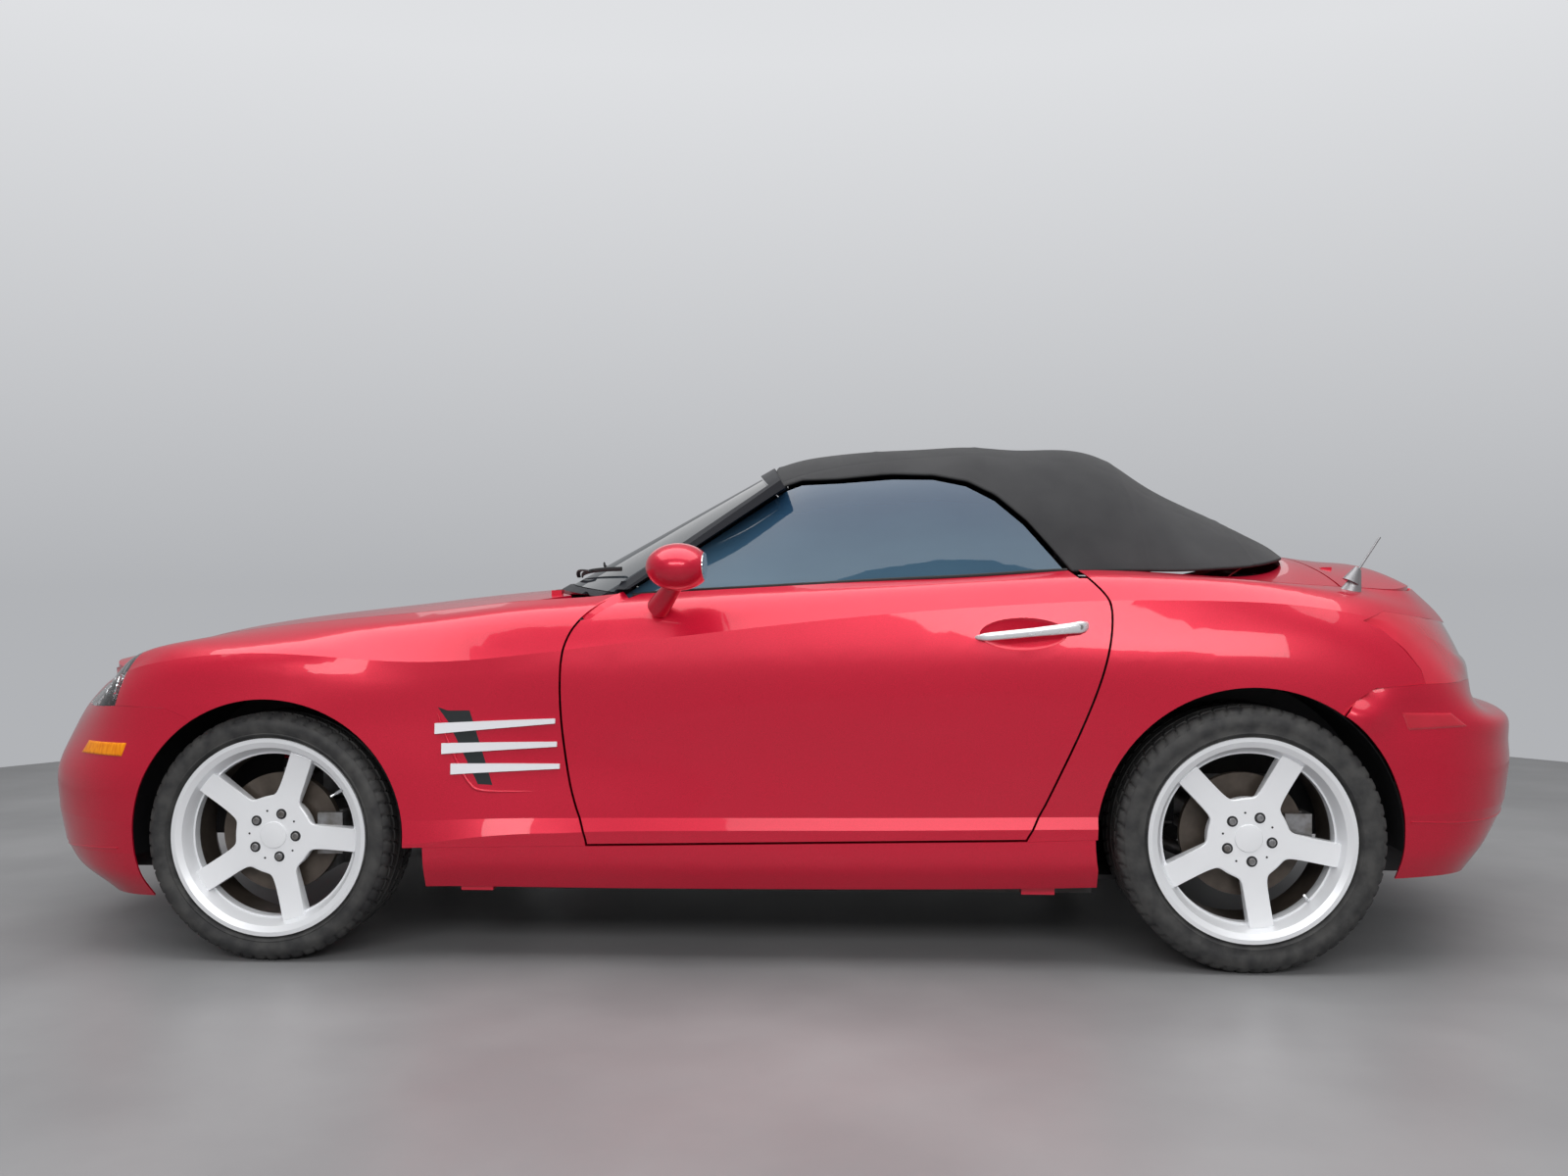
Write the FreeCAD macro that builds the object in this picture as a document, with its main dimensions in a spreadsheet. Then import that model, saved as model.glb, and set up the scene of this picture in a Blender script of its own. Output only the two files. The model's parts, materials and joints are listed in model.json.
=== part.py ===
import FreeCAD, Part
import math
import os
import Sketcher

Vector = FreeCAD.Vector

# Driving dimensions in millimetres: x runs from nose to tail, y to the car's right side, z up
driving_sizes = {
    "wheelbase": 2400, "front_overhang": 790, "rear_overhang": 868,
    "body_half_width": 883, "body_height": 1315,
    "front_track_half": 746.5, "rear_track_half": 751,
    "front_wheel_radius": 308, "rear_wheel_radius": 318,
    "front_tyre_width": 225, "rear_tyre_width": 255,
    "skin_wall": 6, "lid_wall": 16, "seam": 0.3, "shut_gap": 5.5, "overrun": 30,
    "front_arch_radius": 345, "rear_arch_radius": 366,
    "door_inner_plane": 690, "door_step_plane": 800, "door_step": 14,
    "sill_inner_plane": 745, "glass_wall": 5,
    "hinge_pin_radius": 5, "hinge_clearance": 0.05, "hinge_barrel_radius": 10,
    "hinge_barrel_length": 44, "swing_gap": 3,
    "jack_front_x": -720, "jack_rear_x": 660, "jack_plane": 800, "jack_pad_half": 40,
    "jack_pad_bottom": 176, "hinge_leaf_wall": 9, "hinge_end_gap": 0.5,
    "door_pin_x_back": 52, "door_pin_plane": 800, "door_hinge_low": 420, "door_hinge_high": 690,
    "hood_pin_x": -505, "hood_pin_height": 866, "hood_pin_plane": 565,
    "trunk_pin_x": 1296, "trunk_pin_height": 946, "trunk_pin_plane": 400, "trunk_swing_radius": 147,
    "gooseneck_drop": 160, "gooseneck_width": 14,
    "rim_radius": 246, "rim_barrel_radius": 218, "rim_wall": 10, "rim_lip_depth": 42,
    "spoke_wall": 26, "spoke_count": 5, "window_inner_radius": 97, "window_outer_radius": 204,
    "spoke_width": 56, "rim_flange_width": 8,
    "rim_seat_width": 18, "front_wheel_phase": -15, "rear_wheel_phase": -7.5,
    "hub_radius": 68, "hub_inner": 10, "disc_radius": 150, "disc_wall": 22, "disc_offset": -4,
    "spindle_radius": 16, "spindle_reach": 24, "bead_radius": 232, "tyre_shoulder": 24,
    "kingpin_inset": 71.5, "kingpin_radius": 8, "kingpin_length": 30,
    "upright_half_height": 125, "upright_half_length": 24, "upright_wall": 60,
    "suspension_arm_wall": 28, "suspension_arm_half_length": 20, "suspension_gap": 0.8,
    "caliper_inner_radius": 100, "caliper_outer_radius": 180, "caliper_half_height": 52,
    "caliper_wall": 16, "caliper_clearance": 3,
    "floor_bottom": 165, "floor_wall": 12, "tunnel_top": 340, "tunnel_half_width": 115,
    "floor_half_width": 640, "firewall_x": -600, "firewall_top": 842, "panel_wall": 12,
    "floor_step_x": 808, "bulkhead_x": 905, "bulkhead_top": 925, 
    "hinge_pillar_length": 58, "side_frame_top": 285, "liner_wall": 3,
    "front_liner_radius": 381, "rear_liner_radius": 368, "rear_liner_inner": 584,
    "boot_floor_height": 440, "boot_rear_x": 1830, 
    "engine_length": 620, "engine_width": 460, "engine_height": 480, 
    "soft_top_wall": 14, "window_clearance": 12,
    "seat_width": 470, "seat_spacing": 740, "seat_wall": 120,
    "wheel_rim_radius": 185, "wheel_tube_radius": 15, "steering_wheel_x": -70, "steering_wheel_height": 790,
    "steering_column_tilt": 24, "column_radius": 18,
}

doc = FreeCAD.newDocument("convertible_car")
sheet = doc.addObject("Spreadsheet::Sheet", "sizes")
for row, (alias, number) in enumerate(driving_sizes.items(), 1):
    sheet.set("A%d" % row, alias)
    sheet.set("B%d" % row, str(number))
    sheet.setAlias("B%d" % row, alias)
doc.recompute()


class Sizes:
    def __init__(self):
        for alias in driving_sizes:
            setattr(self, alias, float(sheet.get(alias)))


d = Sizes()
front_axle_x = d.front_overhang - (d.front_overhang + d.wheelbase + d.rear_overhang) / 2
rear_axle_x = front_axle_x + d.wheelbase
pieces = []


def keep(node, shape):
    feature = doc.addObject("Part::Feature", node)
    feature.Label = node
    feature.Shape = shape
    pieces.append(feature)


# A place along the car: -1 nose, 0 front axle, 1 rear axle, 2 tail
def along(share):
    if share < 0:
        return front_axle_x + share * d.front_overhang
    if share <= 1:
        return front_axle_x + share * d.wheelbase
    return rear_axle_x + (share - 1) * d.rear_overhang


def high(share):
    return share * d.body_height


def wide(share):
    return share * d.body_half_width


def blend(low, top, share):
    return low + (top - low) * share


# Natural cubic spline through (place, value) pairs
def spline(pairs):
    places = [p[0] for p in pairs]
    values = [p[1] for p in pairs]
    count = len(places)
    steps = [places[i + 1] - places[i] for i in range(count - 1)]
    diagonal = [1.0] * count
    upper = [0.0] * count
    right = [0.0] * count
    bends = [0.0] * count
    for i in range(1, count - 1):
        slope = (values[i + 1] - values[i]) / steps[i] - (values[i] - values[i - 1]) / steps[i - 1]
        factor = steps[i - 1] / diagonal[i - 1]
        diagonal[i] = 2 * (steps[i - 1] + steps[i]) - factor * upper[i - 1]
        upper[i] = steps[i]
        right[i] = 6 * slope - factor * right[i - 1]
    for i in range(count - 2, 0, -1):
        bends[i] = (right[i] - upper[i] * bends[i + 1]) / diagonal[i]

    def curve(place):
        i = 0
        while i < count - 2 and place > places[i + 1]:
            i += 1
        a = (places[i + 1] - place) / steps[i]
        b = 1 - a
        bend = (a ** 3 - a) * bends[i] + (b ** 3 - b) * bends[i + 1]
        return a * values[i] + b * values[i + 1] + bend * steps[i] ** 2 / 6
    return curve


# Half of the body's plan outline from the middle of the nose to the middle of the tail:
# (place along the car, share of the half width), numbered by station
outline_shares = [
    (-1.0, 0), (-.986, .283), (-.935, .51), (-.86, .68), (-.767, .793), (-.647, .886), (-.482, .957),
    (-.267, .99), (0, .997), (.083, .992), (.158, .983), (.216, .9785), (.308, .981), (.454, .984),
    (.62, .9875), (.766, .992), (.87, .9975), (1.0, 1.0), (1.275, .9875), (1.506, .9455), (1.673, .866),
    (1.7915, .736), (1.888, .532), (1.964, .283), (2.0, 0)]
last_station = len(outline_shares) - 1

# Ten rails run round the body from the sill's lower edge up to the edge of the lids:
# (station, inset share of the half width, share of the height)
rail_shares = [
    [(0, .136, .125), (3, .159, .115), (6, .07, .114), (8, .051, .128), (10, .045, .141), (12, .041, .1415),
     (16, .041, .153), (18, .048, .165), (20, .079, .165), (22, .16, .155), (24, .181, .152)],
    [(0, .051, .1635), (3, .054, .16), (6, .027, .158), (8, .018, .167), (10, .0135, .1825),
     (12, .0113, .1825),
     (16, .0113, .19), (18, .0204, .205), (20, .041, .21), (22, .075, .21), (24, .07, .21)],
    [(0, .025, .205), (3, .0204, .202), (6, .0113, .2), (8, .008, .213), (10, .0034, .2265), (12, 0, .2495),
     (14, 0, .257), (16, .0023, .2625), (18, .009, .26), (20, .016, .264), (22, .027, .264),
     (24, .025, .262)],
    [(0, .009, .262), (3, .0034, .262), (6, .0023, .262), (8, .0034, .262), (10, .009, .268),
     (12, .018, .2745),
     (14, .025, .2775), (16, .0227, .283), (18, .0068, .286), (21, .0113, .29), (24, .0113, .29)],
    [(0, 0, .35), (3, 0, .345), (6, 0, .345), (8, 0, .36), (10, .016, .365), (12, .0306, .37),
     (14, .016, .38),
     (16, .0068, .385), (18, 0, .38), (21, 0, .37), (24, 0, .37)],
    [(0, .0136, .43), (3, .041, .41), (6, .0227, .43), (8, .0034, .455), (10, .025, .455), (12, .0306, .46),
     (14, .0045, .47), (16, 0, .475), (18, 0, .462), (20, .0034, .45), (22, .009, .447), (24, .009, .447)],
    [(0, .034, .475), (3, .085, .465), (6, .043, .5), (8, .0113, .52), (10, .027, .527), (12, .0315, .55),
     (14, .0023, .565), (16, 0, .575), (18, .009, .555), (19, .0136, .525), (20, .04, .485), (21, .077, .472),
     (22, .088, .472), (24, .09, .472)],
    [(0, .062, .505), (3, .13, .5), (6, .075, .552), (8, .036, .582), (9, .031, .572), (10, .031, .565),
     (12, .0374, .5865), (14, .019, .65), (16, .0385, .677), (18, .07, .655), (20, .113, .585),
     (22, .134, .565),
     (24, .136, .565)],
    [(0, .088, .522), (3, .17, .53), (6, .13, .585), (8, .113, .61), (10, .12, .635), (12, .1075, .664),
     (14, .079, .698), (16, .0974, .719), (18, .145, .69), (20, .187, .648), (22, .1925, .642),
     (24, .195, .645)],
    [(0, .119, .534), (2, .1415, .535), (4, .232, .553), (6, .2515, .592), (8, .2515, .6325),
     (10, .2355, .6585),
     (12, .19, .6845), (13, .1415, .698), (14, .136, .7135), (15, .138, .727), (16, .17, .733),
     (17, .235, .717),
     (18, .256, .704), (20, .266, .692), (22, .266, .695), (24, .2695, .70)]]
top_rail = len(rail_shares) - 1


# A spline that meets the centre plane squarely at both ends
def mirrored_spline(pairs, sign):
    before = [(-p[0], sign * p[1]) for p in pairs[:3] if p[0] > 0][::-1]
    after = [(2 * last_station - p[0], sign * p[1]) for p in pairs[-4:] if p[0] < last_station][::-1]
    return spline(before + list(pairs) + after)


outline_x = mirrored_spline([(i, along(p[0])) for i, p in enumerate(outline_shares)], 1)
outline_y = mirrored_spline([(i, wide(p[1])) for i, p in enumerate(outline_shares)], -1)
rail_inset = [mirrored_spline([(p[0], wide(p[1])) for p in rail], 1) for rail in rail_shares]
rail_height = [mirrored_spline([(p[0], high(p[2])) for p in rail], 1) for rail in rail_shares]


# The point of the left side that lies the given inset inside the outline at a station
def side_point(station, inset, height):
    step_share = .001
    dx = outline_x(station + step_share) - outline_x(station - step_share)
    dy = outline_y(station + step_share) - outline_y(station - step_share)
    run = math.hypot(dx, dy)
    x = outline_x(station) + inset * dy / run
    y = outline_y(station) - inset * dx / run
    return Vector(x, -y, height)


# How sharply the skin folds along a rail, from 0 for a smooth turn to 1 for a fold
def fold(rail, station):
    if rail in (2, 3):
        return 1.0
    if rail == 7:
        return max(0, min(1, (station - 8.6) / .6)) * max(0, min(1, (18.0 - station) / 1.5))
    if rail in (5, 6):
        return max(0, min(1, station - 19.0))
    return 0.0


# Faces between folds: each is a run of rails
face_runs = [(0, 2), (2, 3), (3, 7), (7, 9)]


# The skin's section at a station as (inset, height) pairs, one list for each face run
def skin_section(station):
    points = [(rail_inset[k](station), rail_height[k](station)) for k in range(top_rail + 1)]
    spans = [math.dist(points[k], points[k + 1]) for k in range(top_rail)]
    ways = [[(points[k + 1][q] - points[k][q]) / spans[k] for q in (0, 1)] for k in range(top_rail)]

    def tangent(rail, side):
        if rail == 0 or rail == top_rail:
            return ways[min(rail, top_rail - 1)]
        own = ways[rail] if side > 0 else ways[rail - 1]
        share = spans[rail] / (spans[rail - 1] + spans[rail])
        sharp = fold(rail, station)
        smooth = [blend(ways[rail][q], ways[rail - 1][q], share) for q in (0, 1)]
        return [blend(smooth[q], own[q], sharp) for q in (0, 1)]

    runs = []
    for first, last in face_runs:
        run = [points[first]]
        for k in range(first, last):
            start, end = tangent(k, 1), tangent(k + 1, -1)
            middle = [(points[k][q] + points[k + 1][q]) / 2 + spans[k] * (start[q] - end[q]) / 8 for q in (0, 1)]
            run += [middle, points[k + 1]]
        runs.append(run)
    return runs


# The runs moved inwards by a wall, square to the skin
def inner_section(runs, wall):
    moved = []
    for run in runs:
        line = []
        for j, point in enumerate(run):
            a, b = run[max(0, j - 1)], run[min(len(run) - 1, j + 1)]
            length = math.dist(a, b)
            line.append([point[0] + wall * (b[1] - a[1]) / length, point[1] - wall * (b[0] - a[0]) / length])
        moved.append(line)
    for low, upper in zip(moved, moved[1:]):
        corner = [(low[-1][q] + upper[0][q]) / 2 for q in (0, 1)]
        low[-1] = upper[0] = corner
    return moved


def smooth_edge(points):
    if len(points) == 2:
        return Part.makeLine(points[0], points[1])
    curve = Part.BSplineCurve()
    curve.interpolate(points)
    return curve.toShape()


# Closed section: the skin, then straight across to the back and down
def block_wire(station, back):
    runs = skin_section(station)
    runs[1] = [runs[1][0], runs[1][-1]]
    if back is None:
        back = max(p[0] for run in runs for p in run) + d.skin_wall
    top, foot = runs[-1][-1], runs[0][0]

    def place(point):
        return side_point(station, point[0], point[1])

    edges = [smooth_edge([place(p) for p in run]) for run in runs]
    corners = [place(top), place((back, top[1])), place((back, foot[1])), place(foot)]
    edges += [Part.makeLine(a, b) for a, b in zip(corners, corners[1:])]
    return Part.Wire(edges)


# Closed section: the skin and the same skin moved inwards by a wall
def shell_wire(station, wall):
    outer = skin_section(station)
    inner = inner_section(outer, wall)
    for runs in (outer, inner):
        runs[1] = [runs[1][0], runs[1][-1]]
    outer = [[side_point(station, p[0], p[1]) for p in run] for run in outer]
    inner = [[side_point(station, p[0], p[1]) for p in run[::-1]] for run in inner[::-1]]
    edges = [smooth_edge(run) for run in outer]
    edges.append(Part.makeLine(outer[-1][-1], inner[0][0]))
    edges += [smooth_edge(run) for run in inner]
    edges.append(Part.makeLine(inner[-1][-1], outer[0][0]))
    return Part.Wire(edges)


# Stations from start to end that lie the same distance apart along the outline
def even_stations(start, end, count):
    fine = 20 * count
    stations = [blend(start, end, i / fine) for i in range(fine + 1)]
    runs = [0.0]
    for a, b in zip(stations, stations[1:]):
        runs.append(runs[-1] + math.dist((outline_x(a), outline_y(a)), (outline_x(b), outline_y(b))))
    chosen, k = [], 0
    for i in range(count + 1):
        goal = runs[-1] * i / count
        while k < fine - 1 and runs[k + 1] < goal:
            k += 1
        chosen.append(blend(stations[k], stations[k + 1], (goal - runs[k]) / (runs[k + 1] - runs[k])))
    return chosen


# The left side of the body lofted between two stations
def side_loft(span, wire):
    start, end, count = span
    return Part.makeLoft([wire(station) for station in even_stations(start, end, count)], True, False)


def side_block(span, back=None):
    return side_loft(span, lambda station: block_wire(station, back))


def side_shell(span, wall):
    return side_loft(span, lambda station: shell_wire(station, wall))


# Prisms and boxes
def side_prism(points, y_low, y_high, smooth=False):
    corners = [Vector(x, y_low, z) for x, z in points]
    wire = closed_wire(corners, smooth)
    return Part.Face(wire).extrude(Vector(0, y_high - y_low, 0))


def plan_prism(points, z_low, z_high, smooth=False):
    corners = [Vector(x, y, z_low) for x, y in points]
    return Part.Face(closed_wire(corners, smooth)).extrude(Vector(0, 0, z_high - z_low))


def closed_wire(corners, smooth):
    if not smooth:
        return Part.makePolygon(corners + corners[:1])
    curve = Part.BSplineCurve()
    curve.interpolate(corners)
    return Part.Wire([curve.toShape(), Part.makeLine(corners[-1], corners[0])])


def box(x, y, z):
    return Part.makeBox(x[1] - x[0], y[1] - y[0], z[1] - z[0], Vector(x[0], y[0], z[0]))


def rod(radius, start, end):
    return Part.makeCylinder(radius, start.distanceToPoint(end), start, end - start)


def mirror(shape):
    return shape.mirror(Vector(0, 0, 0), Vector(0, 1, 0))


def both(shape):
    return shape.fuse(mirror(shape))


def pair(shape):
    return Part.makeCompound([shape, mirror(shape)])


def joined(shapes):
    whole = shapes[0].fuse(shapes[1:]) if len(shapes) > 1 else shapes[0]
    return whole.removeSplitter()


# Outline of a panel in side view, as (place along the car, share of the height)
def side_outline(shares):
    return [(along(x), high(z)) for x, z in shares]


# Body panels
nose_x, tail_x = along(-1), along(2)
below, above = -d.overrun, d.body_height + d.overrun
left_side = -d.body_half_width - d.overrun

front_shut_shares = [(.3342, .2), (.3342, .2228), (.3242, .2829), (.3171, .3247), (.3105, .3900),
                     (.3065, .4500),
                     (.305, .5376), (.3067, .5779), (.3130, .6170), (.3304, .6563), (.3567, .6859),
                     (.41, .73)]
rear_shut_shares = [(.82, .78), (.8383, .7293), (.8525, .7019), (.8615, .6780), (.8638, .6426),
                    (.8596, .5894),
                    (.8471, .5118), (.8292, .4312), (.8079, .346), (.79, .2798), (.7771, .2403), (.765, .2)]
sill_seam_shares = [(.0, .213), (.1592, .219), (.3333, .2243), (.7813, .2388), (.8492, .2433), (1.0, .249)]
bumper_seam_shares = [(-1.1, .465), (-.7076, .470), (-.5051, .4798), (-.3316, .4791), (-.2544, .4624),
                      (-.2, .43)]
rear_bumper_seam_shares = [(1.2, .43), (1.2765, .4958), (1.3306, .5179), (1.4793, .524), (1.765, .5232),
                           (2.1, .523)]


# Everything below a seam drawn in side view, moved up by a rise
def below_seam(shares, rise, y_high=None):
    line = [(x, z + rise) for x, z in side_outline(shares)]
    points = line + [(line[-1][0], below), (line[0][0], below)]
    return side_prism(points, left_side, d.overrun if y_high is None else y_high)


# A shape less a tool and the tool's mirror image
def cut_twice(shape, tool):
    return shape.cut(tool).cut(mirror(tool))


# One shell round the whole end of the car, from a station on the left to the same on the right
def end_shell(span, wall):
    left = [shell_wire(station, wall) for station in even_stations(span[0], span[1], span[2])]
    right = [mirror(wire) for wire in left[1:]]
    return Part.makeLoft(right[::-1] + left, True, False)


# A line in side view moved square to itself, to the right of its way when positive
def moved_line(points, shift):
    moved = []
    for i, (x, z) in enumerate(points):
        a, b = points[max(0, i - 1)], points[min(len(points) - 1, i + 1)]
        length = math.dist(a, b)
        moved.append((x + shift * (b[1] - a[1]) / length, z - shift * (b[0] - a[0]) / length))
    return moved


# Everything behind a station on the left side, parted square to the outline
def behind_station(station):
    outer = side_point(station, -d.overrun, 0)
    inner = side_point(station, d.body_half_width / 3, 0)
    far = tail_x
    points = [(outer.x, outer.y), (outer.x, left_side), (far, left_side), (far, inner.y), (inner.x, inner.y)]
    return plan_prism(points, below, above)


# The door's outline between its shut lines, grown by the given amount
def door_prism(growth, y_low, y_high):
    front = [Vector(x, y_low, z) for x, z in moved_line(side_outline(front_shut_shares), -growth)]
    rear = [Vector(x, y_low, z) for x, z in moved_line(side_outline(rear_shut_shares), -growth)]
    edges = [smooth_edge(front), Part.makeLine(front[-1], rear[0]), smooth_edge(rear)]
    edges.append(Part.makeLine(rear[-1], front[0]))
    return Part.Face(Part.Wire(edges)).extrude(Vector(0, y_high - y_low, 0))


front_arch = rod(d.front_arch_radius, Vector(front_axle_x, left_side, d.front_wheel_radius),
                 Vector(front_axle_x, 0, d.front_wheel_radius))
rear_arch = rod(d.rear_arch_radius, Vector(rear_axle_x, left_side, d.rear_wheel_radius),
                Vector(rear_axle_x, 0, d.rear_wheel_radius))
front_liner_outer = d.front_liner_radius + d.liner_wall
rear_liner_outer = d.rear_liner_radius + d.liner_wall
front_well = rod(front_liner_outer + d.seam, Vector(front_axle_x, left_side, d.front_wheel_radius),
                 Vector(front_axle_x, 0, d.front_wheel_radius))
rear_well = rod(rear_liner_outer + d.seam, Vector(rear_axle_x, left_side, d.rear_wheel_radius),
                Vector(rear_axle_x, 0, d.rear_wheel_radius))

# Stations where the panels round the corners part
lamp_start, lamp_end, lid_side = 2.7, 5.6, 22.3
station_seam = .004

# Lids and covers as crowned sheets whose edges lie on the top rail
hood_crown = spline([(along(a), high(b)) for a, b in (
    (-.93, .534), (-.78, .5665), (-.6, .5905), (-.35, .6230), (-.1, .6465), (.06, .6650), (.14, .6820),
    (.235, .6985), (.32, .711))])
deck_crown = spline([(along(a), high(b)) for a, b in (
    (.86, .742), (.95, .748), (1.15, .763), (1.298, .7696), (1.373, .7627), (1.514, .7529), (1.584, .7407),
    (1.654, .7209), (1.726, .70))])


# The top rail's (half width, height) at a place along the car
def lid_edge(x, low, high_end):
    for _ in range(30):
        middle = (low + high_end) / 2
        if side_point(middle, rail_inset[top_rail](middle), 0).x < x:
            low = middle
        else:
            high_end = middle
    inset = rail_inset[top_rail](low)
    return -side_point(low, inset, 0).y, rail_height[top_rail](low)


# Crowned slab across the whole car, its edges at the top rail where the rail is wide
def crowned_slab(places, crown, rail_span, wide_span, wall):
    wires = []
    for x in places:
        rail_x = min(max(x, wide_span[0]), wide_span[1])
        half, edge_height = lid_edge(rail_x, rail_span[0], rail_span[1])
        bend = (crown(rail_x) - edge_height) / half ** 2
        reaches = [d.body_half_width * i / 4 for i in range(-4, 5)]
        top = [Vector(x, y, crown(x) - bend * y ** 2) for y in reaches]
        foot = [p - Vector(0, 0, wall) for p in top[::-1]]
        wires.append(Part.Wire([smooth_edge(top), Part.makeLine(top[-1], foot[0]), smooth_edge(foot),
                                Part.makeLine(foot[-1], top[0])]))
    return Part.makeLoft(wires, True, False)


# Points along the top rail in plan, moved inwards by a gap
def rail_plan(stations, gap):
    points = [side_point(s, rail_inset[top_rail](s) + gap, 0) for s in stations]
    return [(p.x, p.y) for p in points]


# Solid in plan between the rail on both sides and a curve across the car, or a straight line
def lid_plan(stations, gap, cross, z_low, z_high):
    left = [Vector(x, y, z_low) for x, y in rail_plan(stations, gap)]
    right = [Vector(p.x, -p.y, p.z) for p in left[::-1]]
    rail_line = right + left[1:] if stations[0] == 0 else left + right[1:]
    start, end = rail_line[-1], rail_line[0]
    edges = [smooth_edge(rail_line)]
    if cross:
        across = [Vector(x, y, z_low) for x, y in cross]
        if (across[0] - start).Length > (across[-1] - start).Length:
            across = across[::-1]
        edges += [Part.makeLine(start, across[0]), smooth_edge(across), Part.makeLine(across[-1], end)]
    else:
        edges.append(Part.makeLine(start, end))
    return Part.Face(Part.Wire(edges)).extrude(Vector(0, 0, z_high - z_low))


# Hood: from the nose to a curved rear edge that follows the foot of the windshield
hood_rear_middle, hood_rear_side = along(.2365), along(.2965)
hood_corner = d.hood_pin_plane + 2 * d.lid_wall


def hood_rear(share):
    return (blend(hood_rear_middle, hood_rear_side, share ** 2), share * hood_corner)


hood_cross = [hood_rear(i / 4) for i in range(-4, 5)]
hood_places = [blend(along(-.89), along(.31), i / 12) for i in range(13)]
hood_wide, deck_wide = (along(-.6), along(.31)), (along(.86), along(1.48))
hood = crowned_slab(hood_places, hood_crown, (0, 13), hood_wide, d.lid_wall)
hood_rail = [0, .6, 1.3, 2, 3, 4, 5, 6, 7, 8, 9, 10, 11, 11.6]
hood = hood.common(lid_plan(hood_rail, d.shut_gap, hood_cross, 0, above))
room_wall, room_rise = d.lid_wall + 2 * d.shut_gap, Vector(0, 0, d.shut_gap)
hood_room = crowned_slab(hood_places, hood_crown, (0, 13), hood_wide, room_wall)
hood_room.translate(room_rise)
hood_room = hood_room.common(lid_plan(hood_rail, 0, hood_cross, 0, above))

# Deck behind the cabin, which the tonneau cover and the trunk lid are parted from
deck_places = [blend(along(.86), along(1.725), i / 10) for i in range(11)]
rear_stations = [15.6, 16, 16.5, 17, 17.5, 18, 18.5, 19, 20, 21, 22, 23, last_station]
deck_slab = crowned_slab(deck_places, deck_crown, (14.5, last_station), deck_wide, d.lid_wall)
deck_room = crowned_slab(deck_places, deck_crown, (14.5, last_station), deck_wide, room_wall)
deck_room.translate(room_rise)
deck_room = deck_room.common(lid_plan(rear_stations, 0, None, 0, above))

# Front bumper: whole height between the lamps, below the seam round the corners
bumper = cut_twice(end_shell((0, 9, 12), d.skin_wall), front_arch)
bumper = cut_twice(bumper, behind_station(lamp_start).cut(below_seam(bumper_seam_shares, -d.seam)))
intake_half, intake_low, intake_top = wide(.42), high(.185), high(.30)
grille_half, grille_low, grille_top = wide(.27), high(.36), high(.455)
nose_depth = (nose_x - d.overrun, nose_x + d.front_overhang / 3)
intake = box(nose_depth, (-intake_half, intake_half), (intake_low, intake_top))
mouth = box(nose_depth, (-grille_half, grille_half), (grille_low, grille_top))
keep("front_bumper", bumper.cut(intake.fuse(mouth)).cut(hood_room))

# Grilles: slats inside a frame that stands in each opening of the bumper
slat_wall, slat_count = d.skin_wall, 5


def grille(half, low, top, x_front, depth):
    x_ends = (x_front, x_front + depth)
    frame = box(x_ends, (-half, half), (low, top))
    hollow = box((x_front - d.overrun, x_front + depth + d.overrun), (slat_wall - half, half - slat_wall),
                 (low + slat_wall, top - slat_wall))
    parts = [frame.cut(hollow)]
    pitch = (top - low) / slat_count
    for i in range(1, slat_count):
        middle = low + pitch * i
        parts.append(box((x_ends[1] - 3 * slat_wall, x_ends[1]), (-half, half),
                         (middle - slat_wall / 2, middle + slat_wall / 2)))
    return joined(parts)


upper_grille = grille(grille_half - d.seam, grille_low + d.seam, grille_top - d.seam, nose_x + high(.016),
                      high(.06))
lower_grille = grille(intake_half - d.seam, intake_low + d.seam, intake_top - d.seam, nose_x + high(.022),
                      high(.07))
keep("grilles", Part.makeCompound([upper_grille, lower_grille]))

# Headlamps fill the corners above the bumper
lamp = side_block((lamp_start + station_seam, lamp_end - station_seam, 5))
lamp = lamp.cut(below_seam(bumper_seam_shares, 0)).cut(hood_room)
keep("headlamps", pair(lamp))

# Front fenders
fender = side_shell((lamp_end, 12.6, 10), d.skin_wall)
fender = fender.cut(front_arch).cut(below_seam(bumper_seam_shares, 0)).cut(below_seam(sill_seam_shares, 0))
fender = fender.cut(door_prism(d.shut_gap / 2, left_side, 0))
fender = fender.common(box((nose_x, along(.42)), (left_side, d.overrun), (below, above)))
vent_shares = [(.1779, .4806), (.1883, .4738), (.2108, .4738), (.2350, .3346), (.2200, .3361), (.1887, .4525)]
vent_hole = side_prism(side_outline(vent_shares), left_side, -d.body_half_width * .8)
fender = fender.cut(vent_hole)
keep("front_fenders", pair(fender))

# Sills below the doors, flat on the inside where the side frames meet them
sill = side_block((10.1, 15.8, 8), d.body_half_width - d.sill_inner_plane + d.overrun)
sill = sill.common(below_seam(sill_seam_shares, -d.seam)).cut(front_well).cut(rear_well)
sill_cut = box((nose_x, tail_x), (-d.sill_inner_plane, 0), (below, above))
sill = sill.cut(sill_cut)
for jack_x in (d.jack_front_x, d.jack_rear_x):
    pad_ends = (jack_x - d.jack_pad_half, jack_x + d.jack_pad_half)
    sill = sill.fuse(box(pad_ends, (-d.jack_plane - d.jack_pad_half / 2, d.jack_pad_half / 2 - d.jack_plane),
                         (d.jack_pad_bottom, high(.155))))
keep("sills", pair(sill))

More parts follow.
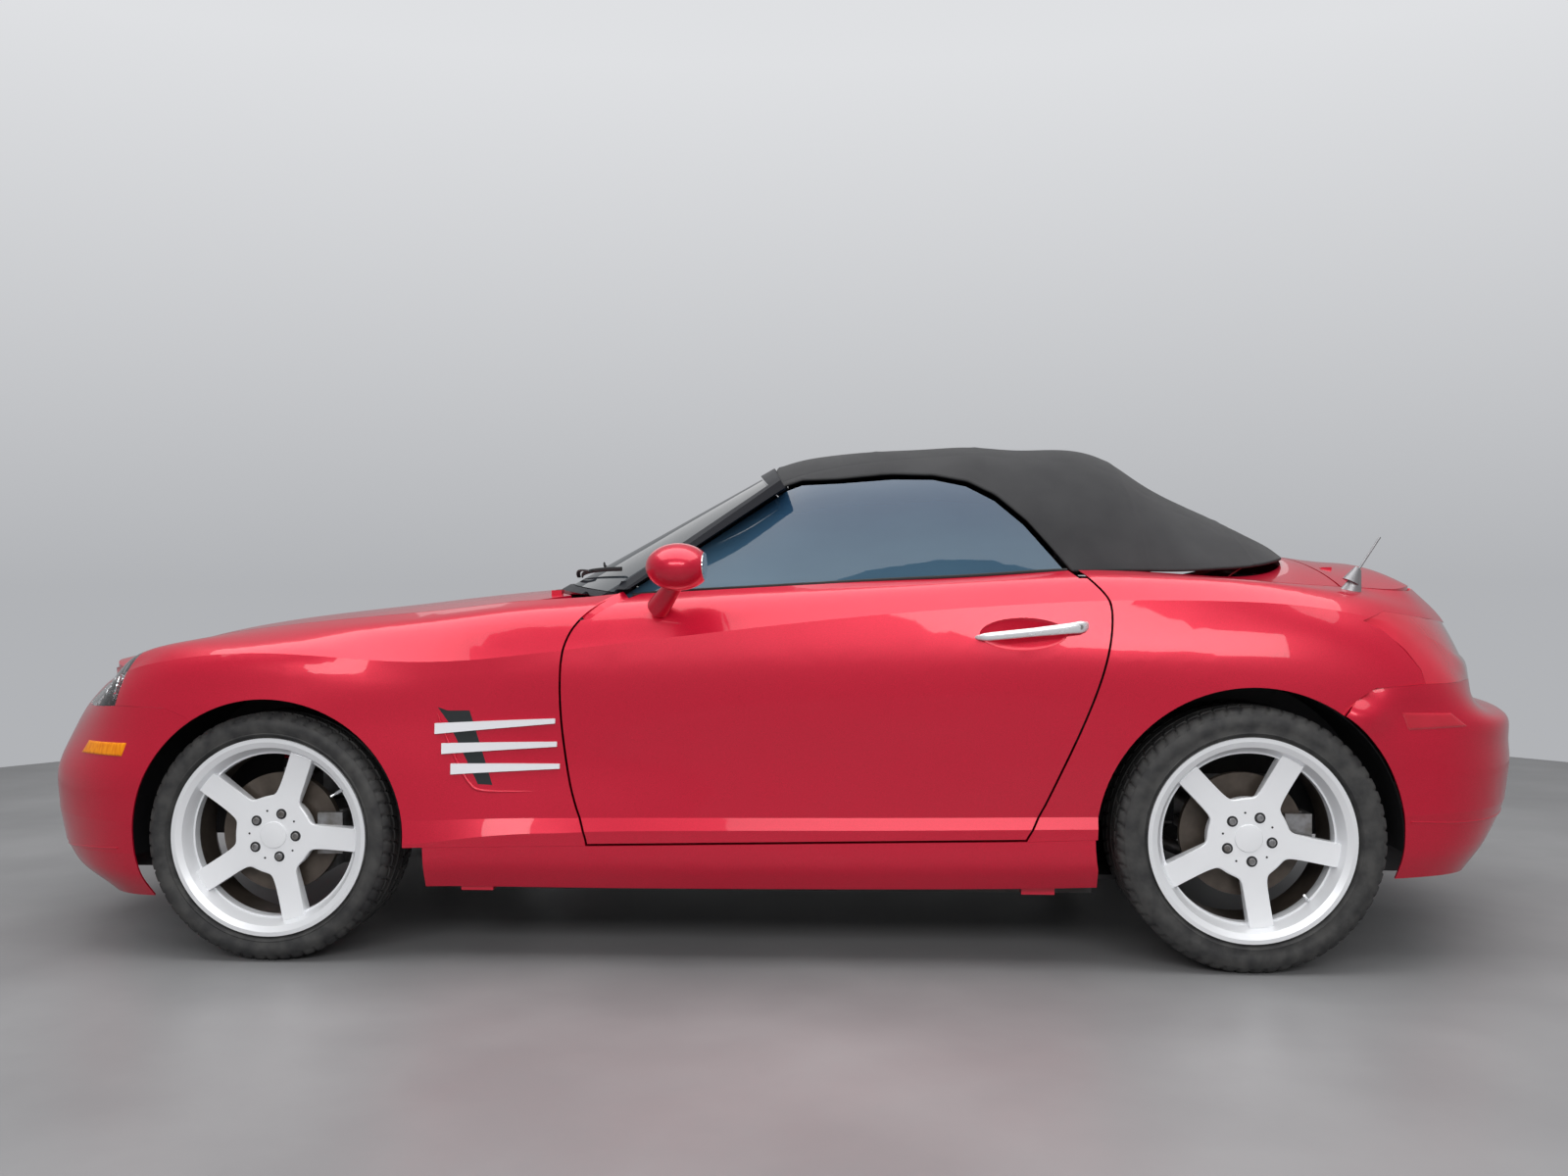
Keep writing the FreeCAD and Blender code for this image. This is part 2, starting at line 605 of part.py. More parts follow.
# Quarter panels
quarter = side_shell((15.0, lid_side, 10), d.skin_wall)
quarter = quarter.cut(rear_arch).cut(below_seam(sill_seam_shares,
                                                0)).cut(below_seam(rear_bumper_seam_shares, 0))
quarter = quarter.cut(door_prism(d.shut_gap / 2, left_side, 0))
tail_lamp_shares = [(1.4793, .5), (1.4793, .524), (1.4700, .5500), (1.4297, .5863), (1.3721, .6213),
                    (1.3203, .6388),
                    (1.40, .655), (1.56, .640), (1.74, .625), (2.1, .60), (2.1, .5)]


def tail_lamp_prism(growth):
    wire = Part.makePolygon([Vector(x, left_side, z) for x,
                             z in side_outline(tail_lamp_shares + tail_lamp_shares[:1])])
    return Part.Face(wire.makeOffset2D(growth)).extrude(Vector(0, -left_side, 0))


quarter = quarter.cut(tail_lamp_prism(d.seam)).cut(deck_room)
keep("quarter_panels", pair(quarter))

# Tail lamps
tail_lamp = side_shell((18, lid_side, 7), d.lid_wall)
tail_lamp = tail_lamp.common(tail_lamp_prism(0)).cut(below_seam(rear_bumper_seam_shares, 0))
keep("tail_lamps", pair(tail_lamp))

# Rear bumper
rear_bumper = end_shell((last_station, 17.7, 8), d.skin_wall)
rear_bumper = rear_bumper.common(below_seam(rear_bumper_seam_shares, -d.seam, -left_side))
tail_pipe_plane, tail_pipe_height, tail_pipe_radius = wide(.07), high(.24), 1.5 * d.column_radius
tail_pipe_hole = rod(tail_pipe_radius + d.shut_gap, Vector(along(1.7), -tail_pipe_plane, tail_pipe_height),
                     Vector(tail_x + d.overrun, -tail_pipe_plane, tail_pipe_height))
keep("rear_bumper", cut_twice(cut_twice(rear_bumper, rear_arch), tail_pipe_hole))

# Doors: as thick as the whole door, with a step round the inner part, and two hinge arms
door_block = side_block((11.4, 16.4, 8), d.body_half_width - d.door_inner_plane + d.overrun)
door_skin = door_block.common(door_prism(-d.shut_gap / 2, left_side, -d.door_step_plane))
door_core = door_block.common(door_prism(-d.shut_gap / 2 - d.door_step, -d.door_step_plane,
                                         -d.door_inner_plane))
door_bottom = below_seam(sill_seam_shares, d.shut_gap)
door = door_skin.fuse(door_core).cut(door_bottom)
door_pin_x = along(.305) - d.door_pin_x_back
door_pin = Vector(door_pin_x, -d.door_pin_plane, 0)
bore_radius = d.hinge_pin_radius + d.hinge_clearance


def door_hinge_arm(height):
    base = door_pin + Vector(0, 0, height)
    barrel = rod(d.hinge_barrel_radius, base, base + Vector(0, 0, d.hinge_barrel_length))
    end = Vector(along(.305) + 3 * d.door_step, -d.door_inner_plane - d.hinge_barrel_radius, 0)
    way = end - door_pin
    side = Vector(-way.y, way.x, 0).normalize() * (d.hinge_leaf_wall / 2)
    corners = [door_pin - side, end - side, end + side, door_pin + side]
    leaf = plan_prism([(p.x, p.y) for p in corners], height, height + d.hinge_barrel_length)
    bore = rod(bore_radius, base - Vector(0, 0, d.overrun),
               base + Vector(0, 0, d.hinge_barrel_length + d.overrun))
    return barrel.fuse(leaf), bore


# Hollow behind the door handle
cup = Part.makeSphere(1)
stretch = FreeCAD.Matrix()
stretch.A11, stretch.A22, stretch.A33 = high(.08), high(.0145), high(.033)
cup = cup.transformGeometry(stretch)
cup.translate(Vector(along(.775), -wide(.986), high(.618)))
door = door.cut(cup)


# How far the fender's rear edge reaches from the hinge pin at a height
def edge_reach(height):
    points = [corner.Point for wire in fender.slice(Vector(0, 0, 1), height) for corner in wire.Vertexes]
    rear = max(p.x for p in points)
    return max(math.dist((p.x, p.y), (door_pin.x,
                                      door_pin.y)) for p in points if p.x > rear - 4 * d.skin_wall)


# The door keeps outside what the fender's edge sweeps about the pin
sweep_heights = [blend(high(.234), high(.678), i / 24) for i in range(25)]
sweep = [(edge_reach(height) + d.swing_gap, height) for height in sweep_heights]
sweep_corners = [Vector(door_pin.x + radius, door_pin.y, height) for radius, height in sweep]
sweep_corners = [Vector(sweep_corners[0].x, door_pin.y, below)] + sweep_corners
sweep_corners = [Vector(door_pin.x, door_pin.y, below)] + sweep_corners + [Vector(door_pin.x, door_pin.y,
    sweep_corners[-1].z)]
sweep_face = Part.Face(Part.makePolygon(sweep_corners + sweep_corners[:1]))
door = door.cut(sweep_face.revolve(door_pin, Vector(0, 0, 1), 360))
for height in (d.door_hinge_low, d.door_hinge_high):
    arm, bore = door_hinge_arm(height)
    door = door.fuse(arm).cut(bore)
keep("door_left", door.removeSplitter())
keep("door_right", mirror(door.removeSplitter()))

# Hood hinges
hood_pin = Vector(d.hood_pin_x, 0, d.hood_pin_height)


def hood_hinge_arm(plane):
    half = d.hinge_barrel_length / 4
    barrel = rod(d.hinge_barrel_radius, hood_pin + Vector(0, plane - half, 0),
                 hood_pin + Vector(0, plane + half, 0))
    reach = hood_pin.x - 8 * d.hinge_barrel_radius
    wall = d.hinge_barrel_radius / 2
    leaf_points = [(hood_pin.x, hood_pin.z - wall), (hood_pin.x, hood_pin.z + wall),
                   (reach, hood_crown(reach) - 2 * d.lid_wall), (reach, hood_crown(reach) - 3 * d.lid_wall)]
    leaf = side_prism(leaf_points, plane - half, plane + half)
    bore = rod(bore_radius, hood_pin + Vector(0, plane - 4 * half, 0),
               hood_pin + Vector(0, plane + 4 * half, 0))
    return barrel.fuse(leaf), bore


for side in (-1, 1):
    arm, bore = hood_hinge_arm(side * d.hood_pin_plane)
    post_x = hood_pin.x - 8 * d.hinge_barrel_radius
    post = box((post_x, post_x + 3 * d.hinge_leaf_wall),
               (side * d.hood_pin_plane - d.hinge_barrel_length / 4,
                side * d.hood_pin_plane + d.hinge_barrel_length / 4),
               (hood_crown(post_x) - 3 * d.lid_wall, hood_crown(post_x) - d.lid_wall / 2))
    hood = hood.fuse(arm.fuse(post)).cut(bore)
keep("hood", hood)

# Trunk lid: deck and rear face in one, its front edge an arc about the hinge pin
trunk_pin = Vector(d.trunk_pin_x, 0, d.trunk_pin_height)
trunk = deck_slab.common(lid_plan(rear_stations, d.shut_gap, None, 0, above))
trunk = trunk.common(box((trunk_pin.x + d.trunk_swing_radius / 2, tail_x), (left_side, -left_side),
                         (below, above)))
hinge_line = Vector(0, d.body_half_width, 0)
trunk = trunk.cut(rod(d.trunk_swing_radius + d.shut_gap, trunk_pin - hinge_line, trunk_pin + hinge_line))
rear_face = side_shell((lid_side + .06, last_station, 3), d.lid_wall)
rear_face = rear_face.cut(below_seam(rear_bumper_seam_shares, d.shut_gap))
trunk = trunk.fuse([rear_face, mirror(rear_face)])


# Curved hinge arm that dips below the cover's rear edge
def gooseneck(plane):
    width = d.gooseneck_width
    y_low, y_high = plane - width / 2, plane + width / 2
    low = d.trunk_pin_height - d.gooseneck_drop
    front, rear = d.trunk_pin_x - width, d.trunk_pin_x + d.trunk_swing_radius + width * 2
    top = deck_crown(rear) - d.lid_wall * 2
    bars = [box((front, front + 2 * width), (y_low, y_high), (low, d.trunk_pin_height)),
            box((front, rear + 2 * width), (y_low, y_high), (low, low + 2 * width)),
            box((rear, rear + 2 * width), (y_low, y_high), (low, top)),
            rod(d.hinge_barrel_radius, trunk_pin + Vector(0, y_low, 0), trunk_pin + Vector(0, y_high, 0))]
    bore = rod(bore_radius, trunk_pin + Vector(0, y_low - width, 0), trunk_pin + Vector(0, y_high + width, 0))
    return bars[0].fuse(bars[1:]), bore


for side in (-1, 1):
    arm, bore = gooseneck(side * d.trunk_pin_plane)
    trunk = trunk.fuse(arm).cut(bore)
keep("trunk_lid", trunk)

# Soft top: a sheet over the cabin, its section flattening from front to rear
top_start, top_end = along(.517), along(1.292)
top_places = [blend(top_start, top_end, i / 18) for i in range(19)]
top_crown = spline([(along(a), high(b)) for a, b in (
    (.515, .9635), (.5404, .978), (.632, .994), (.7458, 1.0), (.79, .9955), (.899, .9735), (.928, .94),
    (.963, .9034), (1.1, .8426), (1.22, .806), (1.302, .778))])
top_base = spline([(along(a), high(b)) for a, b in (
    (.515, .69), (.65, .712), (.83, .7325), (.95, .7335), (1.05, .739), (1.15, .7475), (1.25, .7585),
    (1.31, .766))])
top_half = spline([(along(a), wide(b)) for a, b in (
    (.515, .83), (.65, .845), (.80, .84), (.86, .81), (.92, .775), (1.0, .725), (1.1, .65), (1.18, .56),
    (1.23, .46),
    (1.262, .34), (1.292, .14))])
top_power = spline([(along(a), b) for a, b in ((.515, 3.4), (.64, 4.2), (.85, 4.0), (1.0, 2.9), (1.25, 2.2))])


# Height of the soft top's outside at a place along the car and a share of its half width
def top_height(x, share, inset=0):
    base, crown = top_base(x), top_crown(x) - inset
    return base + (crown - base) * (1 - abs(share) ** top_power(x))


section_shares = [-1, -.97, -.9, -.75, -.55, -.3, 0, .3, .55, .75, .9, .97, 1]


# Points across the soft top at a place along the car, moved inwards by an inset
def top_line(x, inset):
    half = top_half(x) - inset
    return [Vector(x, half * s, top_height(x, s, inset)) for s in section_shares]


# The soft top's sheet between two depths below its outside
def top_sheet(depth, wall, places=top_places):
    wires = []
    for place in places:
        outer = top_line(place, depth)
        inner = top_line(place, depth + wall)[::-1]
        wires.append(Part.Wire([smooth_edge(outer), Part.makeLine(outer[-1], inner[0]), smooth_edge(inner),
                                Part.makeLine(inner[-1], outer[0])]))
    return Part.makeLoft(wires, True, False)


window_shares = [(.3446, .60), (.3446, .684), (.36, .6893), (.4412, .7886), (.53, .9015), (.5480, .9135),
                 (.5896, .9150),
                 (.6492, .9217), (.6925, .9194), (.7279, .9042), (.7575, .8730), (.7863, .8243),
                 (.8096, .7711),
                 (.8283, .7290), (.835, .60)]


# Outline of the side window grown by the given amount, through one side of the car
def window_prism(growth, y_low, y_high):
    wire = Part.makePolygon([Vector(x, y_low, z) for x, z in side_outline(window_shares + window_shares[:1])])
    return Part.Face(wire.makeOffset2D(growth)).extrude(Vector(0, y_high - y_low, 0))


soft_top = top_sheet(0, d.soft_top_wall)
window_reach = wide(.36)
for side in (-1, 1):
    y_ends = sorted((side * window_reach, side * -left_side))
    soft_top = soft_top.cut(window_prism(d.window_clearance, y_ends[0], y_ends[1]))
rear_glass_half = wide(.34)
rear_glass_hole = box((along(.985), along(1.135)), (-rear_glass_half, rear_glass_half), (high(.80), above))
rear_glass = top_sheet(d.soft_top_wall / 3, d.glass_wall)
glass_cut = box((along(.985) + d.seam, along(1.135) - d.seam),
                (-rear_glass_half + d.seam, rear_glass_half - d.seam),
                (high(.80), above))
top_tail = top_line(top_end, 0)
tail_face = Part.Face(Part.Wire([smooth_edge(top_tail), Part.makeLine(top_tail[-1], top_tail[0])]))
soft_top = soft_top.fuse(tail_face.extrude(Vector(-d.soft_top_wall, 0, 0)))
keep("soft_top", soft_top.cut(rear_glass_hole))
keep("rear_window", rear_glass.common(glass_cut))

# Cover between the soft top and the trunk lid
cover_front = along(.895)
cover_rear = trunk_pin.x + d.trunk_swing_radius
tonneau = deck_slab.common(box((cover_front, cover_rear), (left_side, -left_side), (below, above)))
behind_arc = box((trunk_pin.x, cover_rear + d.overrun), (left_side, -left_side), (below, above))
tonneau = tonneau.cut(behind_arc.cut(rod(d.trunk_swing_radius, trunk_pin - hinge_line,
                                         trunk_pin + hinge_line)))
tonneau = tonneau.common(lid_plan(rear_stations, d.shut_gap / 2, None, 0, above))
footprint = [Vector(along(p), -top_half(along(p)) - d.seam, 0) for p in (.86, .9, .95, 1.0, 1.06, 1.12,
    1.17, 1.21, 1.24, 1.27)]
footprint_tip = Vector(along(1.3), 0, 0)
half_line = footprint + [footprint_tip]
full_line = half_line + [Vector(p.x, -p.y, 0) for p in footprint[::-1]]
foot_wire = Part.Wire([smooth_edge(full_line), Part.makeLine(full_line[-1], full_line[0])])
tonneau = tonneau.cut(Part.Face(foot_wire).extrude(Vector(0, 0, above)))
keep("tonneau_cover", tonneau)

# Windshield: a curved pane in a frame of pillars, header and cowl
pane_foot_middle, pane_foot_side = (along(.2530), high(.7115)), (along(.345), high(.694))
pane_top_middle, pane_top_side = (along(.4980), high(.9605)), (along(.5165), high(.9155))
pane_foot_half, pane_top_half = wide(.785), wide(.605)
frame_wall = 3 * d.lid_wall / 2


def pane_point(rise, share, depth):
    middle = [blend(pane_foot_middle[q], pane_top_middle[q], rise) for q in (0, 1)]
    side = [blend(pane_foot_side[q], pane_top_side[q], rise) for q in (0, 1)]
    slope = math.atan2(pane_top_middle[1] - pane_foot_middle[1], pane_top_middle[0] - pane_foot_middle[0])
    run = math.dist(middle, side)
    along_way = [(side[q] - middle[q]) / run * depth / math.sin(slope) for q in (0, 1)]
    x, z = [middle[q] + (side[q] - middle[q]) * share ** 2 + along_way[q] for q in (0, 1)]
    return Vector(x, blend(pane_foot_half, pane_top_half, rise) * share, z)


def pane_sheet(low, top, reach, depth, wall):
    wires = []
    for i in range(4):
        rise = blend(low, top, i / 3)
        outer = [pane_point(rise, reach * j / 4, depth) for j in range(-4, 5)]
        inner = [pane_point(rise, reach * j / 4, depth + wall) for j in range(4, -5, -1)]
        wires.append(Part.Wire([smooth_edge(outer), Part.makeLine(outer[-1], inner[0]), smooth_edge(inner),
                                Part.makeLine(inner[-1], outer[0])]))
    return Part.makeLoft(wires, True, False)


edge_share = .006
frame_foot_plane = d.door_inner_plane - d.shut_gap
frame = pane_sheet(-.04, 1.04, 1.07, 0, frame_wall)
frame = frame.cut(pane_sheet(0, .97, 1, -d.overrun, frame_wall + 2 * d.overrun))
cowl_height = d.firewall_top + d.seam
belt = high(.7)
frame = cut_twice(frame, box((nose_x, tail_x), (left_side, -frame_foot_plane), (below, belt)))
frame = cut_twice(frame, window_prism(d.seam, left_side, -window_reach))
frame = frame.cut(top_sheet(-d.seam, d.soft_top_wall + 2 * d.seam))
foot_outline = [(along(.335), cowl_height), (along(.36), cowl_height), (along(.373), high(.716)),
                (along(.358), high(.716))]
for side in (-1, 1):
    y_ends = sorted((side * frame_foot_plane, side * (frame_foot_plane - 2 * frame_wall)))
    frame = frame.fuse(side_prism(foot_outline, *y_ends))
# The hood's rear corners swing past the frame's lower edge
corner_swing = rod(5 * d.hinge_barrel_radius, Vector(hood_pin.x, -hood_corner - 2 * d.lid_wall, hood_pin.z),
                   Vector(hood_pin.x, 2 * d.lid_wall - hood_corner, hood_pin.z))
frame = cut_twice(frame, corner_swing)
keep("windshield_frame", frame.cut(hood_room))
pane = pane_sheet(edge_share, .97 - edge_share, 1 - edge_share, d.glass_wall, d.glass_wall)
keep("windshield_glass", pane.cut(frame))

# Door glass stands on the door's top edge
glass_places = [blend(along(.335), along(.86), i / 12) for i in range(13)]
glass_sheet = top_sheet(d.soft_top_wall / 3, d.glass_wall, glass_places)
glass_zone = window_prism(-d.glass_wall, left_side,
                          -window_reach).common(box((nose_x, tail_x), (left_side, 0), (high(.66), above)))
door_room = door.copy()
door_room.translate(Vector(0, 0, d.seam))
side_glass = glass_sheet.common(glass_zone).cut(door).cut(door_room)
keep("door_glass_left", side_glass)
keep("door_glass_right", mirror(side_glass))

# Door mirrors: rounded shells on a short arm
mirror_x, mirror_z = along(.4325), high(.741)
mirror_size = (high(.059), high(.070), high(.043))
mirror_plane = wide(1.055)
head = Part.makeSphere(1)
stretch = FreeCAD.Matrix()
stretch.A11, stretch.A22, stretch.A33 = mirror_size
head = head.transformGeometry(stretch)
head.translate(Vector(mirror_x, -mirror_plane, mirror_z))
head = head.cut(box((mirror_x + mirror_size[0] * .8, mirror_x + 2 * mirror_size[0]),
                    (-2 * mirror_plane, 0), (0, above)))
arm_foot = Vector(along(.405), -wide(.915), high(.665))
arm_head = Vector(mirror_x, -mirror_plane + mirror_size[1] * .4, mirror_z - mirror_size[2] * .4)
stem = Part.makeCone(high(.022), high(.014), arm_foot.distanceToPoint(arm_head), arm_foot,
                     arm_head - arm_foot)
door_mirror = head.fuse(stem).cut(door).cut(side_glass)
door_mirror = max(door_mirror.Solids, key=lambda solid: solid.Volume)
keep("door_mirror_left", door_mirror)
keep("door_mirror_right", mirror(door_mirror))


# Sketches on a body's own planes, each corner tied to the sheet
def sketch_in(body, plane, name):
    sketch = body.newObject("Sketcher::SketchObject", name)
    origin = next(f for f in body.Origin.OriginFeatures if f.Role == plane)
    sketch.AttachmentSupport = [(origin, "")]
    sketch.MapMode = "FlatFace"
    return sketch


def value_of(expression):
    return float(sheet.evalExpression(expression.replace("sizes.", "")))


def draw_profile(sketch, corners):
    points = [Vector(value_of(a), value_of(b), 0) for a, b in corners]
    count = len(points)
    for i in range(count):
        sketch.addGeometry(Part.LineSegment(points[i], points[(i + 1) % count]), False)
    for i in range(count):
        sketch.addConstraint(Sketcher.Constraint("Coincident", i, 2, (i + 1) % count, 1))
    for i, (a, b) in enumerate(corners):
        for way, expression, number in (("DistanceX", a, points[i].x), ("DistanceY", b, points[i].y)):
            index = sketch.addConstraint(Sketcher.Constraint(way, -1, 1, i, 1, number))
            sketch.setExpression("Constraints[%d]" % index, expression)


def turned_body(node, corners):
    body = doc.addObject("PartDesign::Body", node)
    body.Label = node
    sketch = sketch_in(body, "XY_Plane", node + "_profile")
    draw_profile(sketch, corners)
    doc.recompute()
    turn = body.newObject("PartDesign::Revolution", node + "_turn")
    turn.Profile = sketch
    turn.ReferenceAxis = (sketch, ["V_Axis"])
    turn.Angle = 360
    doc.recompute()
    return body


# Wheels are drawn about the Y axis with their outer face towards -Y, turned to rest as the car stands
def wheel_placement(axle, side):
    x, track, height, phase = (
        (front_axle_x, d.front_track_half, d.front_wheel_radius, d.front_wheel_phase) if axle == "front" else
        (rear_axle_x, d.rear_track_half, d.rear_wheel_radius, d.rear_wheel_phase))
    turn = FreeCAD.Rotation(Vector(0, 0, 1), 0 if side == "left" else 180)
    turn = turn.multiply(FreeCAD.Rotation(Vector(0, 1, 0), phase))
    return FreeCAD.Placement(Vector(x, -track if side == "left" else track, height), turn)


def tyre(axle, side):
    radius, width = "sizes.%s_wheel_radius" % axle, "sizes.%s_tyre_width" % axle
    bead_plane = width + " / 2 - 2 * sizes.rim_wall"
    corners = []
    for sign in ("-", ""):
        half = [("sizes.bead_radius + sizes.seam", bead_plane),
                ("sizes.rim_radius + sizes.seam", bead_plane),
                ("(sizes.rim_radius + %s) / 2" % radius, width + " / 2"),
                (radius + " - sizes.tyre_shoulder / 2", width + " / 2 - sizes.rim_wall / 2"),
                (radius + " - sizes.tyre_shoulder / 8", width + " / 2 - sizes.tyre_shoulder")]
        half = [(a, "%s(%s)" % (sign, b)) for a, b in half]
        corners += half if sign == "-" else half[::-1]
    corners.insert(5, (radius, "-(%s / 4)" % width))
    corners.insert(6, (radius, "%s / 4" % width))
    body = turned_body("tyre_%s_%s" % (axle, side), corners)
    body.Placement = wheel_placement(axle, side)
    pieces.append(body)


# Rim: deep lip, bead seats, barrel and disc, five windows between the spokes, hub and brake disc behind
def rim(axle, side):
    edge = "(sizes.%s_tyre_width / 2 - sizes.rim_wall)" % axle
    flange = "(%s - sizes.rim_flange_width)" % edge
    seat = "(%s - sizes.rim_seat_width)" % flange
    lip = "(%s - sizes.rim_lip_depth)" % edge
    back = "(sizes.spoke_wall - %s)" % lip
    disc_low = "sizes.disc_offset - sizes.disc_wall / 2"
    disc_high = "sizes.disc_offset + sizes.disc_wall / 2"
    bore, bore_end = "sizes.spindle_radius + sizes.hinge_clearance", "-sizes.spindle_reach - sizes.hinge_end_gap"
    rim_inner, seat_inner = "sizes.rim_radius - sizes.rim_wall", "sizes.bead_radius - sizes.rim_wall"
    barrel_inner = "sizes.rim_barrel_radius - sizes.rim_wall"
    corners = [("0", "-" + lip), (barrel_inner, "-" + lip), (seat_inner, "-" + flange),
               (rim_inner, "-" + edge),
               ("sizes.rim_radius", "-" + edge), ("sizes.rim_radius", "-" + flange),
               ("sizes.bead_radius", "-" + flange), ("sizes.bead_radius", "-" + seat),
               ("sizes.rim_barrel_radius", "-" + lip), ("sizes.rim_barrel_radius", lip),
               ("sizes.bead_radius", seat), ("sizes.bead_radius", flange), ("sizes.rim_radius", flange),
               ("sizes.rim_radius", edge), (rim_inner, edge), (seat_inner, flange), (barrel_inner, lip),
               (barrel_inner, back), ("sizes.hub_radius", back), ("sizes.hub_radius", disc_low),
               ("sizes.disc_radius", disc_low), ("sizes.disc_radius", disc_high),
               ("sizes.hub_radius", disc_high),
               ("sizes.hub_radius", "sizes.hub_inner"), (bore, "sizes.hub_inner"), (bore, bore_end),
               ("0", bore_end)]
    body = turned_body("rim_%s_%s" % (axle, side), corners)
    cut_sketch = sketch_in(body, "XZ_Plane", body.Name + "_window")
    cut_sketch.setExpression(".AttachmentOffset.Base.z", "sizes.disc_wall - sizes.disc_offset")
    draw_window(cut_sketch)
    doc.recompute()
    window = pocket_outwards(body, cut_sketch, body.Name + "_window_cut", edge)
    ring = body.newObject("PartDesign::PolarPattern", body.Name + "_windows")
    ring.Originals = [window]
    ring.Axis = (cut_sketch, ["N_Axis"])
    ring.Angle = 360
    ring.setExpression("Occurrences", "sizes.spoke_count")
    body.Tip = ring
    doc.recompute()
    body.Placement = wheel_placement(axle, side)
    pieces.append(body)


# Window between two spokes: an arc at the rim, straight spoke sides, a round inner end
def draw_window(sketch):
    half_turn = math.pi / d.spoke_count
    outer_turn = half_turn - math.asin(d.spoke_width / 2 / d.window_outer_radius)
    inner_turn = half_turn - math.asin(d.spoke_width / 2 / d.window_inner_radius)

    def at(radius, turn):
        return Vector(radius * math.sin(turn), radius * math.cos(turn), 0)

    a, b = at(d.window_outer_radius, -outer_turn), at(d.window_outer_radius, outer_turn)
    c, e = at(d.window_inner_radius, inner_turn), at(d.window_inner_radius, -inner_turn)
    sketch.addGeometry(Part.Arc(a, at(d.window_outer_radius, 0), b), False)
    sketch.addGeometry(Part.LineSegment(b, c), False)
    sketch.addGeometry(Part.Arc(c, at(d.window_inner_radius, 0), e), False)
    sketch.addGeometry(Part.LineSegment(e, a), False)


# Pocket from a sketch behind the spokes out through the wheel's face
def pocket_outwards(body, sketch, name, length):
    before = body.Shape.Volume
    pocket = body.newObject("PartDesign::Pocket", name)
    pocket.Profile = sketch
    pocket.Type = "Length"
    pocket.setExpression("Length", length)
    pocket.Reversed = True
    doc.recompute()
    if pocket.Shape.Volume > before * .99:
        raise RuntimeError("the windows cut nothing")
    return pocket


for axle in ("front", "rear"):
    for side in ("left", "right"):
        tyre(axle, side)
        rim(axle, side)


# Front knuckles: upright with a spindle, two ball joint bosses and the brake caliper
def upright(track, height, axle_x, turned):
    def at(x, inboard, z):
        return Vector(axle_x + x, -track + inboard, height + z)

    def block(x, inboard, z):
        return box((axle_x + x[0], axle_x + x[1]), (-track + inboard[0], -track + inboard[1]),
                   (height + z[0], height + z[1]))

    start = d.hub_inner + d.hinge_end_gap
    tall = d.upright_half_height if turned else d.upright_half_height * .7
    shapes = [block((-d.upright_half_length, d.upright_half_length), (start, start + d.upright_wall),
                    (-tall, tall))]
    shapes.append(rod(d.spindle_radius, at(0, start, 0), at(0, -d.spindle_reach, 0)))
    if turned:
        boss = 2 * d.kingpin_radius
        shapes.append(rod(boss, at(0, d.kingpin_inset, -tall), at(0, d.kingpin_inset, tall)))
    reach = d.caliper_outer_radius - d.caliper_wall
    inner_face = d.disc_offset + d.disc_wall / 2 + d.caliper_clearance
    outer_face = d.disc_offset - d.disc_wall / 2 - d.caliper_clearance
    tips = (-d.caliper_half_height, d.caliper_half_height)
    shapes.append(block((0, reach), (inner_face + d.caliper_wall / 2, inner_face + 2 * d.caliper_wall), tips))
    shapes.append(block((d.caliper_inner_radius, reach), (inner_face, inner_face + 2 * d.caliper_wall), tips))
    shapes.append(block((d.disc_radius + d.caliper_clearance, reach),
                        (outer_face - d.caliper_wall, inner_face + d.caliper_wall), tips))
    shapes.append(block((d.caliper_inner_radius, reach), (outer_face - d.caliper_wall, outer_face), tips))
    whole = shapes[0].fuse(shapes[1:])
    if turned:
        for end in (-1, 1):
            bore_start = at(0, d.kingpin_inset, end * (tall - d.kingpin_length))
            bore_end = at(0, d.kingpin_inset, end * (tall + d.overrun))
            whole = whole.cut(rod(d.kingpin_radius + d.hinge_clearance, bore_start, bore_end))
    return whole


knuckle = upright(d.front_track_half, d.front_wheel_radius, front_axle_x, True)
keep("knuckle_left", knuckle)
keep("knuckle_right", mirror(knuckle))

# Front suspension: crossmember, towers and two arms a side with the ball joint pins
kingpin_y = -d.front_track_half + d.kingpin_inset
arm_gap = d.upright_half_height + d.suspension_gap
arm_half = d.suspension_arm_half_length
tower_plane = d.floor_half_width * .6
tower_wall = 2 * d.suspension_arm_wall


def around_axle(x, y, z):
    return box((front_axle_x + x[0], front_axle_x + x[1]), y,
               (d.front_wheel_radius + z[0], d.front_wheel_radius + z[1]))


arm_reach = (kingpin_y - 1.2 * arm_half, -tower_plane + tower_wall)
shapes = []
for end in (-1, 1):
    z_ends = sorted((end * arm_gap, end * (arm_gap + d.suspension_arm_wall)))
    shapes.append(around_axle((-arm_half, arm_half), arm_reach, z_ends))
    base = Vector(front_axle_x, kingpin_y, d.front_wheel_radius + end * (arm_gap + d.suspension_arm_wall / 2))
    tip = Vector(front_axle_x, kingpin_y, d.front_wheel_radius + end * (arm_gap - d.kingpin_length * .8))
    shapes.append(rod(d.kingpin_radius, base, tip))
shapes.append(around_axle((-2 * arm_half, 2 * arm_half), (-tower_plane, -tower_plane + tower_wall),
                          (-arm_gap - d.suspension_arm_wall, arm_gap + d.suspension_arm_wall)))
shapes.append(around_axle((-2 * arm_half, 2 * arm_half), (-tower_plane, 0),
                          (-arm_gap - d.suspension_arm_wall, -arm_gap + d.suspension_arm_wall)))
half = shapes[0].fuse(shapes[1:])
keep("front_suspension", both(half))

